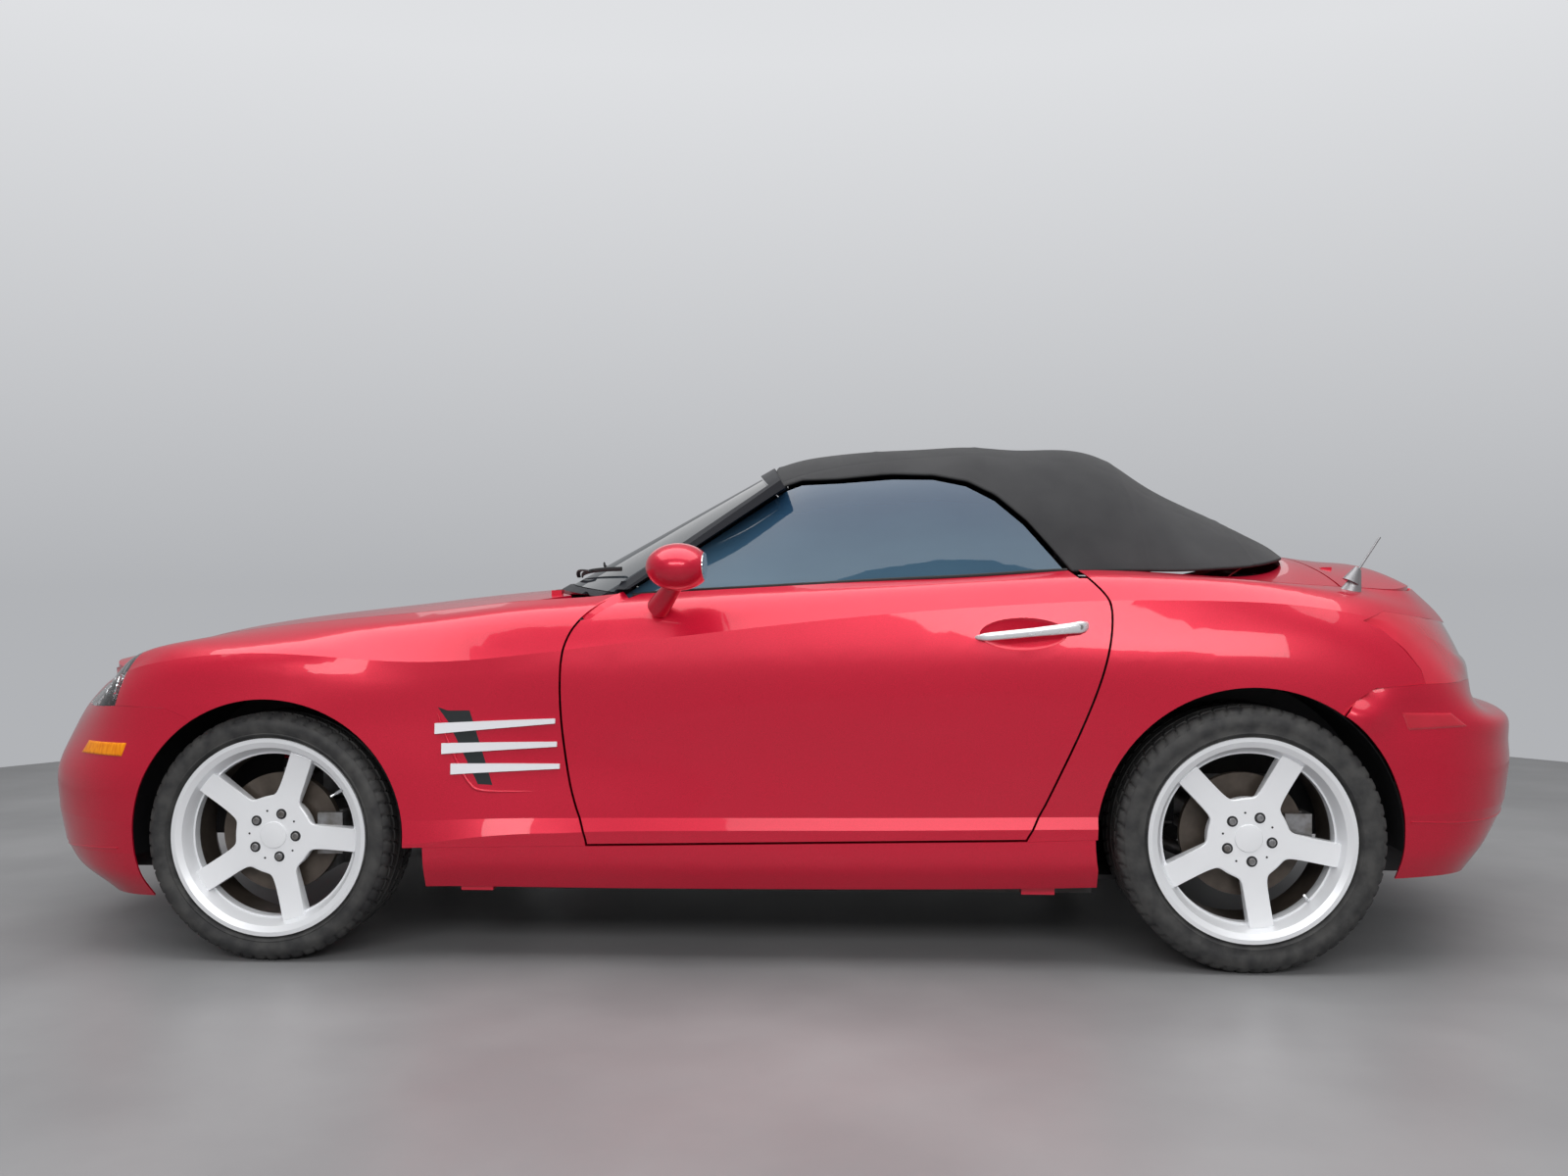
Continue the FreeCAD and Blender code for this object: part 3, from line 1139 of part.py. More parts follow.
# Rear suspension: uprights, half shafts, lower arms and the differential
rear_upright = upright(d.rear_track_half, d.rear_wheel_radius, rear_axle_x, False)
diff_half = d.tunnel_half_width
shaft_end = -d.rear_track_half + d.hub_inner + d.upright_wall
half_shaft = rod(d.spindle_radius, Vector(rear_axle_x, shaft_end - d.spindle_radius, d.rear_wheel_radius),
                 Vector(rear_axle_x, -diff_half / 2, d.rear_wheel_radius))
low_arm = box((rear_axle_x - arm_half, rear_axle_x + arm_half), (shaft_end - d.spindle_radius, 0),
              (d.rear_wheel_radius - d.upright_half_height * .7,
               d.rear_wheel_radius - d.upright_half_height * .7 + d.suspension_arm_wall))
diff = box((rear_axle_x - diff_half, rear_axle_x + diff_half), (-diff_half, 0),
           (d.rear_wheel_radius - d.upright_half_height * .7,
            d.rear_wheel_radius + d.upright_half_height * .6))
keep("rear_suspension", both(rear_upright.fuse([half_shaft, low_arm, diff])))

# Floor with its tunnel in two lengths, the rear one narrower to clear the rear wheels
floor_body = doc.addObject("PartDesign::Body", "floor_pan")
floor_body.Label = "floor_pan"
low, floor_high = "sizes.floor_bottom", "sizes.floor_bottom + sizes.floor_wall"
tunnel, tunnel_roof = "sizes.tunnel_half_width", "sizes.tunnel_top - sizes.floor_wall"
front_length = "sizes.floor_step_x - sizes.firewall_x - sizes.panel_wall - sizes.seam"
rear_length = "sizes.bulkhead_x - sizes.floor_step_x - sizes.seam"


def floor_length(name, half_width, start, length):
    sketch = sketch_in(floor_body, "YZ_Plane", name + "_profile")
    draw_profile(sketch, [
        ("-" + half_width, low), ("-(%s - sizes.floor_wall)" % tunnel, low),
        ("-(%s - sizes.floor_wall)" % tunnel, tunnel_roof), ("%s - sizes.floor_wall" % tunnel, tunnel_roof),
        ("%s - sizes.floor_wall" % tunnel, low), (half_width, low), (half_width, floor_high),
        (tunnel, floor_high), (tunnel, "sizes.tunnel_top"), ("-" + tunnel, "sizes.tunnel_top"),
        ("-" + tunnel, floor_high), ("-" + half_width, floor_high)])
    sketch.setExpression(".AttachmentOffset.Base.z", start)
    doc.recompute()
    pad = floor_body.newObject("PartDesign::Pad", name)
    pad.Profile = sketch
    pad.setExpression("Length", length)
    doc.recompute()


floor_length("front_floor", "sizes.floor_half_width", "sizes.firewall_x + sizes.panel_wall + sizes.seam",
             front_length)
floor_length("rear_floor", "(sizes.rear_liner_inner - sizes.seam)", "sizes.floor_step_x", rear_length)
pieces.append(floor_body)

# Firewall with the cowl shelf, front frame rails and the beam behind the bumper
half = d.floor_half_width
tunnel_half = d.tunnel_half_width - d.floor_wall
tunnel_opening = box((d.firewall_x - d.overrun, d.bulkhead_x + d.overrun), (-tunnel_half, tunnel_half),
                     (0, d.tunnel_top - d.floor_wall))
firewall = box((d.firewall_x, d.firewall_x + d.panel_wall), (-half, half), (d.floor_bottom, d.firewall_top))
firewall = firewall.cut(tunnel_opening)
cowl_z = (d.firewall_top - d.panel_wall, d.firewall_top)
shelf = box((along(.245), d.firewall_x + d.panel_wall), (-half, half), cowl_z)
rail_plane, rail_width = tower_plane + d.seam, high(.045)
rail_low, rail_high = high(.205), high(.26)
shapes = [shelf]
beam_x = along(-.68)
for side in (-1, 1):
    y_ends = sorted((side * rail_plane, side * (rail_plane + rail_width)))
    shapes.append(box((beam_x, d.firewall_x), y_ends, (rail_low, rail_high)))
    y_ends = sorted((side * (half - d.panel_wall), side * frame_foot_plane))
    shapes.append(box((d.firewall_x, along(.36)), y_ends, cowl_z))
shapes.append(box((beam_x - rail_width, beam_x), (-wide(.55), wide(.55)), (rail_low, rail_high)))
for side in (-1, 1):
    for offset in (-1, 1):
        ear_gap = d.hinge_barrel_length / 4 + d.hinge_end_gap
        y_ends = sorted((side * d.hood_pin_plane + offset * ear_gap,
                         side * d.hood_pin_plane + offset * (ear_gap + d.hinge_leaf_wall)))
        shapes.append(box((hood_pin.x - d.hinge_barrel_radius, hood_pin.x + d.hinge_barrel_radius), y_ends,
                          (d.firewall_top - d.panel_wall, hood_pin.z + d.hinge_barrel_radius)))
    reach = d.hinge_barrel_length / 4 + d.hinge_end_gap + d.hinge_leaf_wall
    y_ends = sorted((side * (d.hood_pin_plane - reach), side * (d.hood_pin_plane + reach)))
    shapes.append(box((d.firewall_x, hood_pin.x + d.hinge_barrel_radius), y_ends, cowl_z))
    shapes.append(rod(d.hinge_pin_radius, hood_pin + Vector(0, side * d.hood_pin_plane - reach, 0),
                      hood_pin + Vector(0, side * d.hood_pin_plane + reach, 0)))
keep("firewall", joined([firewall] + shapes))

# Side frames: inner sill, hinge pillar with the door's hinge pins, lock pillar
frame_inner, frame_outer = -half - d.seam, -d.sill_inner_plane + d.seam
pillar_front = d.firewall_x - d.hinge_pillar_length / 2
frame_depth = (frame_outer, frame_inner)
inner_sill = box((pillar_front, along(.85)), frame_depth, (d.floor_bottom, d.side_frame_top))
pillar = box((pillar_front, pillar_front + d.hinge_pillar_length), frame_depth,
             (d.floor_bottom, d.firewall_top - d.panel_wall - d.seam))
lock_shares = [(.80, .19), (.845, .19), (.885, .62), (.885, .665), (.872, .665), (.868, .62)]
lock_pillar = side_prism(side_outline(lock_shares), frame_outer, frame_inner)
side_frame = inner_sill.fuse([pillar, lock_pillar]).cut(rear_well)
for height in (d.door_hinge_low, d.door_hinge_high):
    for z_low in (height - d.hinge_end_gap - d.hinge_leaf_wall,
                  height + d.hinge_barrel_length + d.hinge_end_gap):
        lug = box((pillar_front + d.hinge_pillar_length / 2, door_pin.x + d.hinge_barrel_radius),
                  (door_pin.y - d.hinge_barrel_radius, frame_outer + d.hinge_leaf_wall),
                  (z_low, z_low + d.hinge_leaf_wall))
        lug = lug.cut(box((door_pin.x - d.hinge_barrel_radius, door_pin.x + 2 * d.hinge_barrel_radius),
                          (door_pin.y + d.hinge_barrel_radius, 0),
                          (z_low - 1, z_low + d.hinge_leaf_wall + 1)))
        side_frame = side_frame.fuse(lug)
    reach = d.hinge_end_gap + d.hinge_leaf_wall
    side_frame = side_frame.fuse(rod(d.hinge_pin_radius, door_pin + Vector(0, 0, height - reach),
                                     door_pin + Vector(0, 0, height + d.hinge_barrel_length + reach)))
keep("side_frames", pair(side_frame))

# Boot tub: bulkhead behind the seats, boot floor, sides and rear wall
wall = d.panel_wall
tub_outer = d.rear_liner_inner - d.seam
floor_z = d.boot_floor_height
bulkhead = box((d.bulkhead_x, d.bulkhead_x + wall), (-tub_outer, tub_outer), (d.floor_bottom, d.bulkhead_top))
bulkhead = bulkhead.cut(tunnel_opening)
boot_floor = box((d.bulkhead_x, d.boot_rear_x), (-tub_outer, tub_outer), (floor_z, floor_z + wall))
boot_rear = box((d.boot_rear_x - wall, d.boot_rear_x), (-wide(.45), wide(.45)), (floor_z, high(.50)))
boot_sides = []
for side in (-1, 1):
    y_ends = sorted((side * tub_outer, side * (tub_outer - wall)))
    boot_sides.append(box((d.bulkhead_x, along(1.5)), y_ends, (floor_z, high(.64))))
# Beam across the boot that carries the trunk lid's hinge pins
beam_rear = trunk_pin.x - 3 * d.gooseneck_width
beam_parts = [box((beam_rear - 2 * wall, beam_rear), (-tub_outer, tub_outer),
                  (trunk_pin.z - 4 * wall, trunk_pin.z - 2 * wall))]
for side in (-1, 1):
    y_ends = sorted((side * tub_outer, side * (tub_outer - wall)))
    beam_parts.append(box((beam_rear - 2 * wall, beam_rear), y_ends, (high(.60), trunk_pin.z - 2 * wall)))
    pin_half = d.gooseneck_width / 2 + d.hinge_end_gap + d.hinge_leaf_wall
    for offset in (-1, 1):
        ear_edge = side * d.trunk_pin_plane + offset * pin_half
        y_ends = sorted((ear_edge, ear_edge - offset * d.hinge_leaf_wall))
        beam_parts.append(box((beam_rear - wall, trunk_pin.x + wall), y_ends,
                              (trunk_pin.z - 3 * wall, trunk_pin.z + .7 * wall)))
    beam_parts.append(rod(d.hinge_pin_radius, trunk_pin + Vector(0, side * d.trunk_pin_plane - pin_half, 0),
                          trunk_pin + Vector(0, side * d.trunk_pin_plane + pin_half, 0)))


# Part of a ring whose tube has eight sides, about an axis through its centre
def ring(centre, way, radius, tube, angle):
    corners = [Vector(radius + tube * math.cos(math.pi * i / 4), 0,
                      tube * math.sin(math.pi * i / 4)) for i in range(8)]
    solid = Part.Face(Part.makePolygon(corners + corners[:1])).revolve(Vector(0, 0, 0), Vector(0, 0, 1),
        angle)
    solid.Placement = FreeCAD.Placement(centre, FreeCAD.Rotation(Vector(0, 0, 1), way))
    return solid


# Roll hoops fixed to the bulkhead behind the seats
hoop_x = d.bulkhead_x
hoop_half, hoop_top = d.seat_width * .32, high(.835)


def hoop(middle):
    tube = d.wheel_tube_radius
    arc_centre = Vector(hoop_x, middle, hoop_top - hoop_half)
    arch = ring(arc_centre, Vector(1, 0, 0), hoop_half, tube, 360)
    arch = arch.common(box((hoop_x - 2 * tube, hoop_x + 2 * tube),
                           (middle - 2 * hoop_half, middle + 2 * hoop_half),
                           (arc_centre.z, above)))
    legs = [rod(tube, Vector(hoop_x, middle + side * hoop_half, high(.55)),
                Vector(hoop_x, middle + side * hoop_half, arc_centre.z)) for side in (-1, 1)]
    return arch.fuse(legs)


beam_parts += [hoop(-d.seat_spacing / 2), mirror(hoop(-d.seat_spacing / 2))]
keep("boot_tub", joined([bulkhead, boot_floor, boot_rear] + boot_sides + beam_parts))


# Wheel housings: an arched shell and an inner wall with room for the axle
def liner(axle_x, height, inner, radius, outer_plane, front_low, rear_low):
    axis_y = (-outer_plane, -inner)
    outer = rod(radius + d.liner_wall, Vector(axle_x, axis_y[0], height), Vector(axle_x, axis_y[1], height))
    hollow = rod(radius, Vector(axle_x, axis_y[0] - d.overrun, height),
                 Vector(axle_x, axis_y[1] - d.liner_wall, height))
    shell = outer.cut(hollow)
    front_zone = box((axle_x - 2 * radius, axle_x), axis_y, (height * front_low, height + 2 * radius))
    rear_zone = box((axle_x, axle_x + 2 * radius), axis_y, (height * rear_low, height + 2 * radius))
    axle_room = box((axle_x - radius / 3, axle_x + radius / 3), axis_y, (0, height + radius * .55))
    return shell.common(front_zone.fuse(rear_zone)).cut(axle_room)


front_liner = liner(front_axle_x, d.front_wheel_radius, rail_plane + rail_width + d.seam,
                    d.front_liner_radius, wide(.93), .8, .9)
rear_liner = liner(rear_axle_x, d.rear_wheel_radius, d.rear_liner_inner, d.rear_liner_radius, wide(.93), 1.0, .9)
keep("wheel_liners", Part.makeCompound([front_liner, mirror(front_liner), rear_liner, mirror(rear_liner)]))

# Engine: one plain block on the crossmember
engine = doc.addObject("Part::Box", "engine_block")
engine.Label = "engine_block"
engine.setExpression("Length", "sizes.engine_length")
engine.setExpression("Width", "sizes.engine_width")
engine.setExpression("Height", "sizes.engine_height")
crossmember_top = d.front_wheel_radius - arm_gap + d.suspension_arm_wall
engine.Placement = FreeCAD.Placement(Vector(front_axle_x - 2 * arm_half, -d.engine_width / 2,
                                            crossmember_top + d.seam),
                                     FreeCAD.Rotation())
doc.recompute()
pieces.append(engine)

# Exhaust: pipe in the tunnel, silencer under the boot, two tail pipes
pipe = d.column_radius + d.liner_wall
run = [Vector(along(.30), 0, high(.16)), Vector(along(.93), 0, high(.16)), Vector(along(1.02), 0, high(.105)),
       Vector(along(1.22), 0, high(.105)), Vector(along(1.36), 0, high(.22))]
shapes = [rod(pipe, a, b) for a, b in zip(run, run[1:])] + [Part.makeSphere(pipe, p) for p in run[1:-1]]
silencer = box((along(1.33), along(1.72)), (-wide(.34), wide(.34)), (high(.19), high(.29)))
hangers = [box((along(1.5), along(1.5) + wall), (side * wide(.2) - wall, side * wide(.2) + wall),
               (high(.28), floor_z - d.seam))
           for side in (-1, 1)]
tails = [rod(tail_pipe_radius, Vector(along(1.7), side * tail_pipe_plane, tail_pipe_height),
             Vector(along(1.975), side * tail_pipe_plane, tail_pipe_height)) for side in (-1, 1)]
keep("exhaust", joined([silencer] + shapes + hangers + tails))

# Dashboard with the steering column
dash_start = d.firewall_x + d.panel_wall + d.seam
dash_shares = [(.33, .48), (.44, .54), (.465, .58), (.455, .645), (.40, .665), (.30, .628)]
dash_half = d.floor_half_width - d.panel_wall - d.seam
tilt = math.radians(d.steering_column_tilt)
wheel_centre = Vector(d.steering_wheel_x, -d.seat_spacing / 2, d.steering_wheel_height)
column_way = Vector(math.cos(tilt), 0, math.sin(tilt))
dash_outline = side_outline(dash_shares)
dash_outline = [(dash_start, high(.48))] + dash_outline + [(dash_start, dash_outline[-1][1])]
dash = side_prism(dash_outline, -dash_half, dash_half)
notch_half = d.hinge_barrel_length / 4 + d.hinge_end_gap + d.hinge_leaf_wall + d.seam
for side in (-1, 1):
    dash = dash.cut(box((d.firewall_x, hood_pin.x + d.hinge_barrel_radius + d.seam),
                        (side * d.hood_pin_plane - notch_half, side * d.hood_pin_plane + notch_half),
                        (d.firewall_top - d.panel_wall - d.seam, above)))
column = rod(d.column_radius, wheel_centre - column_way * (4 * d.seat_wall / 2), wheel_centre)
keep("dashboard", joined([dash, column]))

# Steering wheel: ring, hub on the column's end and three spokes
grip = ring(wheel_centre, column_way, d.wheel_rim_radius, d.wheel_tube_radius, 360)
hub_start = wheel_centre - column_way * (2 * d.column_radius)
hub = rod(3 * d.column_radius, hub_start, wheel_centre + column_way * d.column_radius)
spoke_run = Vector(0, 1, 0)
spokes = []
for turn in (0, 180, 270):
    way = FreeCAD.Rotation(column_way, turn).multVec(spoke_run)
    spokes.append(rod(d.wheel_tube_radius * .8, wheel_centre + way * 2 * d.column_radius,
                      wheel_centre + way * d.wheel_rim_radius))
bore = rod(d.column_radius + d.hinge_clearance, hub_start - column_way * d.overrun,
           wheel_centre + column_way * d.hinge_end_gap)
keep("steering_wheel", grip.fuse([hub] + spokes).cut(bore))

# Seats: cushion, back and headrest in one padded form
seat_shares = [(.60, .1355), (.80, .1355), (.815, .26), (.875, .60), (.885, .80), (.872, .835),
               (.845, .835), (.835, .79),
               (.81, .62), (.765, .40), (.74, .345), (.60, .375), (.575, .355), (.58, .30), (.60, .26)]
seat_profile = side_outline(seat_shares)
seat_bottom = d.floor_bottom + d.floor_wall + d.seam
seat_profile[0] = (seat_profile[0][0], seat_bottom)
seat_profile[1] = (seat_profile[1][0], seat_bottom)
seat = side_prism(seat_profile, -(d.seat_spacing + d.seat_width) / 2, -(d.seat_spacing - d.seat_width) / 2)
keep("seats", pair(seat))

# Antenna: a small foot and an inclined mast on the left shoulder
antenna_x, antenna_y = along(1.345), -wide(.75)
probe = rod(slat_wall / 2, Vector(antenna_x, antenna_y, high(.5)),
            Vector(antenna_x, antenna_y, above)).common(quarter)
mast_foot = Vector(antenna_x, antenna_y, probe.BoundBox.ZMax - high(.003))
foot_cone = Part.makeCone(high(.016), high(.005), high(.03), mast_foot, Vector(.45, 0, .9))
mast = rod(high(.0022), mast_foot, mast_foot + Vector(high(.055), 0, high(.085)))
antenna = foot_cone.fuse(mast).cut(quarter)
antenna = max(antenna.Solids, key=lambda solid: solid.Volume)
antenna.translate(Vector(0, 0, d.seam))
keep("antenna", antenna)

# Fender vents: a dark insert behind the opening and three strakes across it
insert = vent_hole.common(side_block((9.5, 12.4, 6)).cut(side_shell((9.5, 12.4, 6), d.skin_wall * 3)))
strakes = []
strake_shares = [((.1758, .4403), (.3004, .4547)), ((.1829, .4030), (.3021, .4114)),
                 ((.1925, .3650), (.3050, .3703))]
for (x_front, z_front), (x_rear, z_rear) in strake_shares:
    half_front, half_rear = high(.010), high(.0046)
    outline = [(along(x_front), high(z_front) - half_front), (along(x_rear), high(z_rear) - half_rear),
               (along(x_rear), high(z_rear) + half_rear), (along(x_front), high(z_front) + half_front)]
    strakes.append(side_prism(outline, left_side, -d.body_half_width * .8))
strake_zone = side_shell((8.5, 12.6, 6), d.skin_wall)
strake_zone.translate(Vector(0, -d.skin_wall - d.seam, 0))
fender_room = fender.copy()
fender_room.translate(Vector(0, -d.seam, 0))
vent_pieces = [insert] + [strake_zone.common(strake).cut(fender).cut(fender_room) for strake in strakes]
keep("fender_vents", pair(Part.makeCompound(vent_pieces)))

# Finished pieces
doc.recompute()
os.makedirs("parts", exist_ok=True)
for piece in doc.Objects:
    if "Invalid" in piece.State or "Error" in piece.State:
        raise RuntimeError("failed feature: " + piece.Label)
for piece in pieces:
    shape = piece.Shape
    if shape.isNull() or not shape.isValid() or not shape.Solids:
        raise RuntimeError("bad solid: " + piece.Label)
for piece in pieces:
    piece.Shape.exportStep("parts/" + piece.Label + ".step")
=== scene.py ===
import json
import math

import bmesh
import bpy
import numpy as np
from mathutils import Euler, Matrix, Vector


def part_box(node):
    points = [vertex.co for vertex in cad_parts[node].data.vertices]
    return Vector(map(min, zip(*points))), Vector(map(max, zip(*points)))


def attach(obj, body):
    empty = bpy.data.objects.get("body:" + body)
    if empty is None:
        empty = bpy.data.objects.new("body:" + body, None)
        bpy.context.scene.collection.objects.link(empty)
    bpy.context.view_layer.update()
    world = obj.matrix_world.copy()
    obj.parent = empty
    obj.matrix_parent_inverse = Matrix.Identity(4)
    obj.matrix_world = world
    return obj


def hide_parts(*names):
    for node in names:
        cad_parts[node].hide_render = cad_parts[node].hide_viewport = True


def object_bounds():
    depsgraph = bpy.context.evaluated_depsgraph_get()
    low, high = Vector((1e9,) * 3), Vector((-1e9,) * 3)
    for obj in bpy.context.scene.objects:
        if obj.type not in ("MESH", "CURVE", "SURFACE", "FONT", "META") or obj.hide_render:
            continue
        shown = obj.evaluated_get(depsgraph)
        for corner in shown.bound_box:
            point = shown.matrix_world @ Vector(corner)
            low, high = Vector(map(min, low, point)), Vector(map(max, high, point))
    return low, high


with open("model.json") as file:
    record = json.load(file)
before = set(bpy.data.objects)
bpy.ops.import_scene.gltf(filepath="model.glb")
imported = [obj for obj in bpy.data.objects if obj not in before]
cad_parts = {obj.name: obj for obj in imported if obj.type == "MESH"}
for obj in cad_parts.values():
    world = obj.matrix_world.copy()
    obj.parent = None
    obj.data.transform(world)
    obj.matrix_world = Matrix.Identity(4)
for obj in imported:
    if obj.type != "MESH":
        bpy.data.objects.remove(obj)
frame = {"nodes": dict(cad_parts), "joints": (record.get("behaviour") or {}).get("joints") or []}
cadLow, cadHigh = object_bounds()
nodes = frame["nodes"]
joints = {joint["name"]: joint for joint in frame["joints"]}
print("frame loaded:", len(nodes), "nodes")

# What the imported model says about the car; every place below is a share of these
car = {
    "height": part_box("soft_top")[1].z,
    "halfWidth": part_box("quarter_panels")[1].y,
    "frontAxleX": joints["front_left_roll"]["pos_m"][0],
    "rearAxleX": joints["rear_left_roll"]["pos_m"][0],
    "frontTrack": joints["front_right_roll"]["pos_m"][1],
    "rearTrack": joints["rear_right_roll"]["pos_m"][1],
    "frontRadius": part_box("tyre_front_left")[1].z / 2,
    "rearRadius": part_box("tyre_rear_left")[1].z / 2,
}
wheelBase = car["rearAxleX"] - car["frontAxleX"]
noseOverhang = car["frontAxleX"] - cadLow.x
tailOverhang = cadHigh.x - car["rearAxleX"]


# Place along the car: -1 at the nose, 0 and 1 at the axles, 2 at the tail, straight in between
def along(share):
    share = np.asarray(share, float)
    front, middle = car["frontAxleX"] + share * noseOverhang, car["frontAxleX"] + share * wheelBase
    return np.where(share < 0, front, np.where(share > 1, car["rearAxleX"] + (share - 1) * tailOverhang, middle))


def wide(share):  # share of the half width
    return np.asarray(share, float) * car["halfWidth"]


def high(share):  # share of the height
    return np.asarray(share, float) * car["height"]


# Natural cubic spline: the bends solve the tridiagonal system, each span is the cubic between them
def naturalSpline(places, values):
    places, values = np.asarray(places, float), np.asarray(values, float)
    steps, slopes = np.diff(places), np.diff(values) / np.diff(places)
    inner = np.arange(1, len(places) - 1)
    system, right = np.eye(len(places)), np.zeros(len(places))
    system[inner, inner - 1], system[inner, inner + 1] = steps[:-1], steps[1:]
    system[inner, inner] = 2 * (steps[:-1] + steps[1:])
    right[inner] = 6 * np.diff(slopes)
    bends = np.linalg.solve(system, right)

    def curve(x):
        span = np.clip(np.searchsorted(places, x, side="right") - 1, 0, len(steps) - 1)
        t, h = x - places[span], steps[span]
        slope = slopes[span] - h * (2 * bends[span] + bends[span + 1]) / 6
        change = (bends[span + 1] - bends[span]) / (6 * h)
        return values[span] + t * slope + t ** 2 * bends[span] / 2 + t ** 3 * change

    return curve


# Quads of a grid of points; a closed way joins its last line to its first
def gridFaces(rows, columns, closeRows=False, closeColumns=False):
    i, j = np.meshgrid(np.arange(rows - (not closeRows)), np.arange(columns - (not closeColumns)), indexing="ij")
    nextRow, nextColumn = (i + 1) % rows, (j + 1) % columns
    quads = np.stack([i * columns + j, nextRow * columns + j, nextRow * columns + nextColumn,
                      i * columns + nextColumn], -1)
    return quads.reshape(-1, 4)


# New object at the origin, linked to the scene; a body is given where it is a piece
def addObject(name, data, body=None):
    item = bpy.data.objects.new(name, data)
    bpy.context.scene.collection.objects.link(item)
    if body:
        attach(item, body)
    return item


# A grid as a mesh object: equal points merged, faces turned outwards, rounded shading up to the crease angle
def makePiece(name, grid, finish, body, closeRows=False, closeColumns=False, crease=38, faces=None):
    grid = np.asarray(grid, float)
    if faces is None:
        faces = gridFaces(*grid.shape[:2], closeRows, closeColumns)
    mesh = bpy.data.meshes.new(name)
    mesh.from_pydata(grid.reshape(-1, 3).tolist(), [], faces.tolist())
    work = bmesh.new()
    work.from_mesh(mesh)
    bmesh.ops.remove_doubles(work, verts=work.verts, dist=2e-5)
    bmesh.ops.dissolve_degenerate(work, edges=work.edges, dist=1e-6)
    bmesh.ops.recalc_face_normals(work, faces=work.faces)
    work.to_mesh(mesh)
    work.free()
    mesh.shade_smooth()
    mesh.set_sharp_from_angle(angle=math.radians(crease))
    mesh.materials.append(finish)
    return addObject(name, mesh, body)


# Pieces as they stand on the left, then their mirror images on the right; a name, and a body that ends in _, take the
# side's word. Each piece is (name, grid, finish, body, slot, crease)
def makeSides(*pieces):
    for word in ("left", "right"):
        for name, grid, finish, body, slotName, crease in pieces:
            name += word if name.endswith("_") else word.title()
            body += word if body.endswith("_") else ""
            makePiece(name, grid if word == "left" else mirrored(grid), finish, body, closeColumns=True,
                      crease=crease)


def makePair(*piece, crease=38):
    makeSides((*piece, crease))


def unit(vectors):  # each vector over its own length
    return vectors / np.maximum(np.linalg.norm(vectors, axis=-1, keepdims=True), 1e-12)


def bent(values, power):  # the value's size raised to the power, its sign kept
    return np.sign(values) * np.abs(values) ** power


def fullTurn(steps):  # equal angles once round, the last one short of the first
    return np.linspace(0, 2 * np.pi, steps, endpoint=False)


def mix(start, end, share):  # straight way from start to end
    return start + (end - start) * share


# A closed band with each end drawn in to its middle, so that no hole is left
def capped(band):
    ends = [np.broadcast_to(band[k].mean(0), (1, *band.shape[1:])) for k in (0, -1)]
    return np.concatenate([ends[0], band, ends[1]])


# Tube on a path: centre + across cos(turn) side + up sin(turn) normal, its ends drawn in to their middle
def tubeGrid(path, across, up, normal=(0, 0, 1), sides=12, closed=False, power=1.0):
    path = np.asarray(path, float)
    ahead = np.roll(path, -1, 0) - np.roll(path, 1, 0) if closed else np.gradient(path, axis=0)
    side = unit(np.cross(unit(ahead), np.broadcast_to(normal, path.shape)))
    lift = unit(np.cross(side, unit(ahead)))
    turn = fullTurn(sides)
    across, up = (np.broadcast_to(reach, len(path))[:, None] for reach in (across, up))
    ring = (path[:, None] + side[:, None] * (across * bent(np.cos(turn), power))[..., None]
            + lift[:, None] * (up * bent(np.sin(turn), power))[..., None])
    return ring if closed else capped(ring)


# Turned shape: radius round the axis at each distance along it
def latheGrid(distances, radii, centre, way, steps=48):
    way = unit(np.asarray(way, float))
    side = unit(np.cross(way, (0.31, 0.17, 0.93)))
    lift = np.cross(way, side)
    turn = fullTurn(steps)[None, :, None]
    distances, radii = np.asarray(distances, float)[:, None, None], np.asarray(radii, float)[:, None, None]
    return np.asarray(centre, float) + way * distances + radii * (np.cos(turn) * side + np.sin(turn) * lift)


def mirrored(points):  # the same shape on the other side of the car
    return points * np.array([1, -1, 1])


def triangles(name):  # the three corners of each triangle of a node
    mesh = nodes[name].data
    mesh.calc_loop_triangles()
    corners = np.empty(len(mesh.loop_triangles) * 3, np.int32)
    mesh.loop_triangles.foreach_get("vertices", corners)
    places = np.empty(len(mesh.vertices) * 3, np.float32)
    mesh.vertices.foreach_get("co", places)
    return places.reshape(-1, 3)[corners.reshape(-1, 3)].astype(float)


# Where a node's surface lies along one axis under each point of the other two: the outermost crossing on a side
def skinReach(name, axis, points, outwards):
    points = np.asarray(points, float)
    flat = points.reshape(-1, 2)
    others = [k for k in range(3) if k != axis]
    tris = triangles(name)
    spread = tris[:, :, others]
    near = (spread.max(1) >= flat.min(0)).all(1) & (spread.min(1) <= flat.max(0)).all(1)
    tris, spread = tris[near], spread[near]
    a, b, c = spread[:, 0], spread[:, 1] - spread[:, 0], spread[:, 2] - spread[:, 0]
    area = b[:, 0] * c[:, 1] - b[:, 1] * c[:, 0]
    area = np.where(np.abs(area) < 1e-12, np.inf, area)
    away = flat[:, None] - a[None]
    u = (away[..., 0] * c[:, 1] - away[..., 1] * c[:, 0]) / area
    v = (b[:, 0] * away[..., 1] - b[:, 1] * away[..., 0]) / area
    inside = (u >= -1e-6) & (v >= -1e-6) & (u + v <= 1 + 1e-6)
    height = tris[:, 0, axis]
    height = height + u * (tris[:, 1, axis] - height) + v * (tris[:, 2, axis] - height)
    found = np.where(inside, height * outwards, -np.inf).max(1) * outwards
    found = np.where(np.isfinite(found), found, np.nan)
    known = np.isfinite(found)
    if not known.all():
        found = np.interp(np.arange(len(found)), np.flatnonzero(known), found[known])
    return found.reshape(points.shape[:-1])


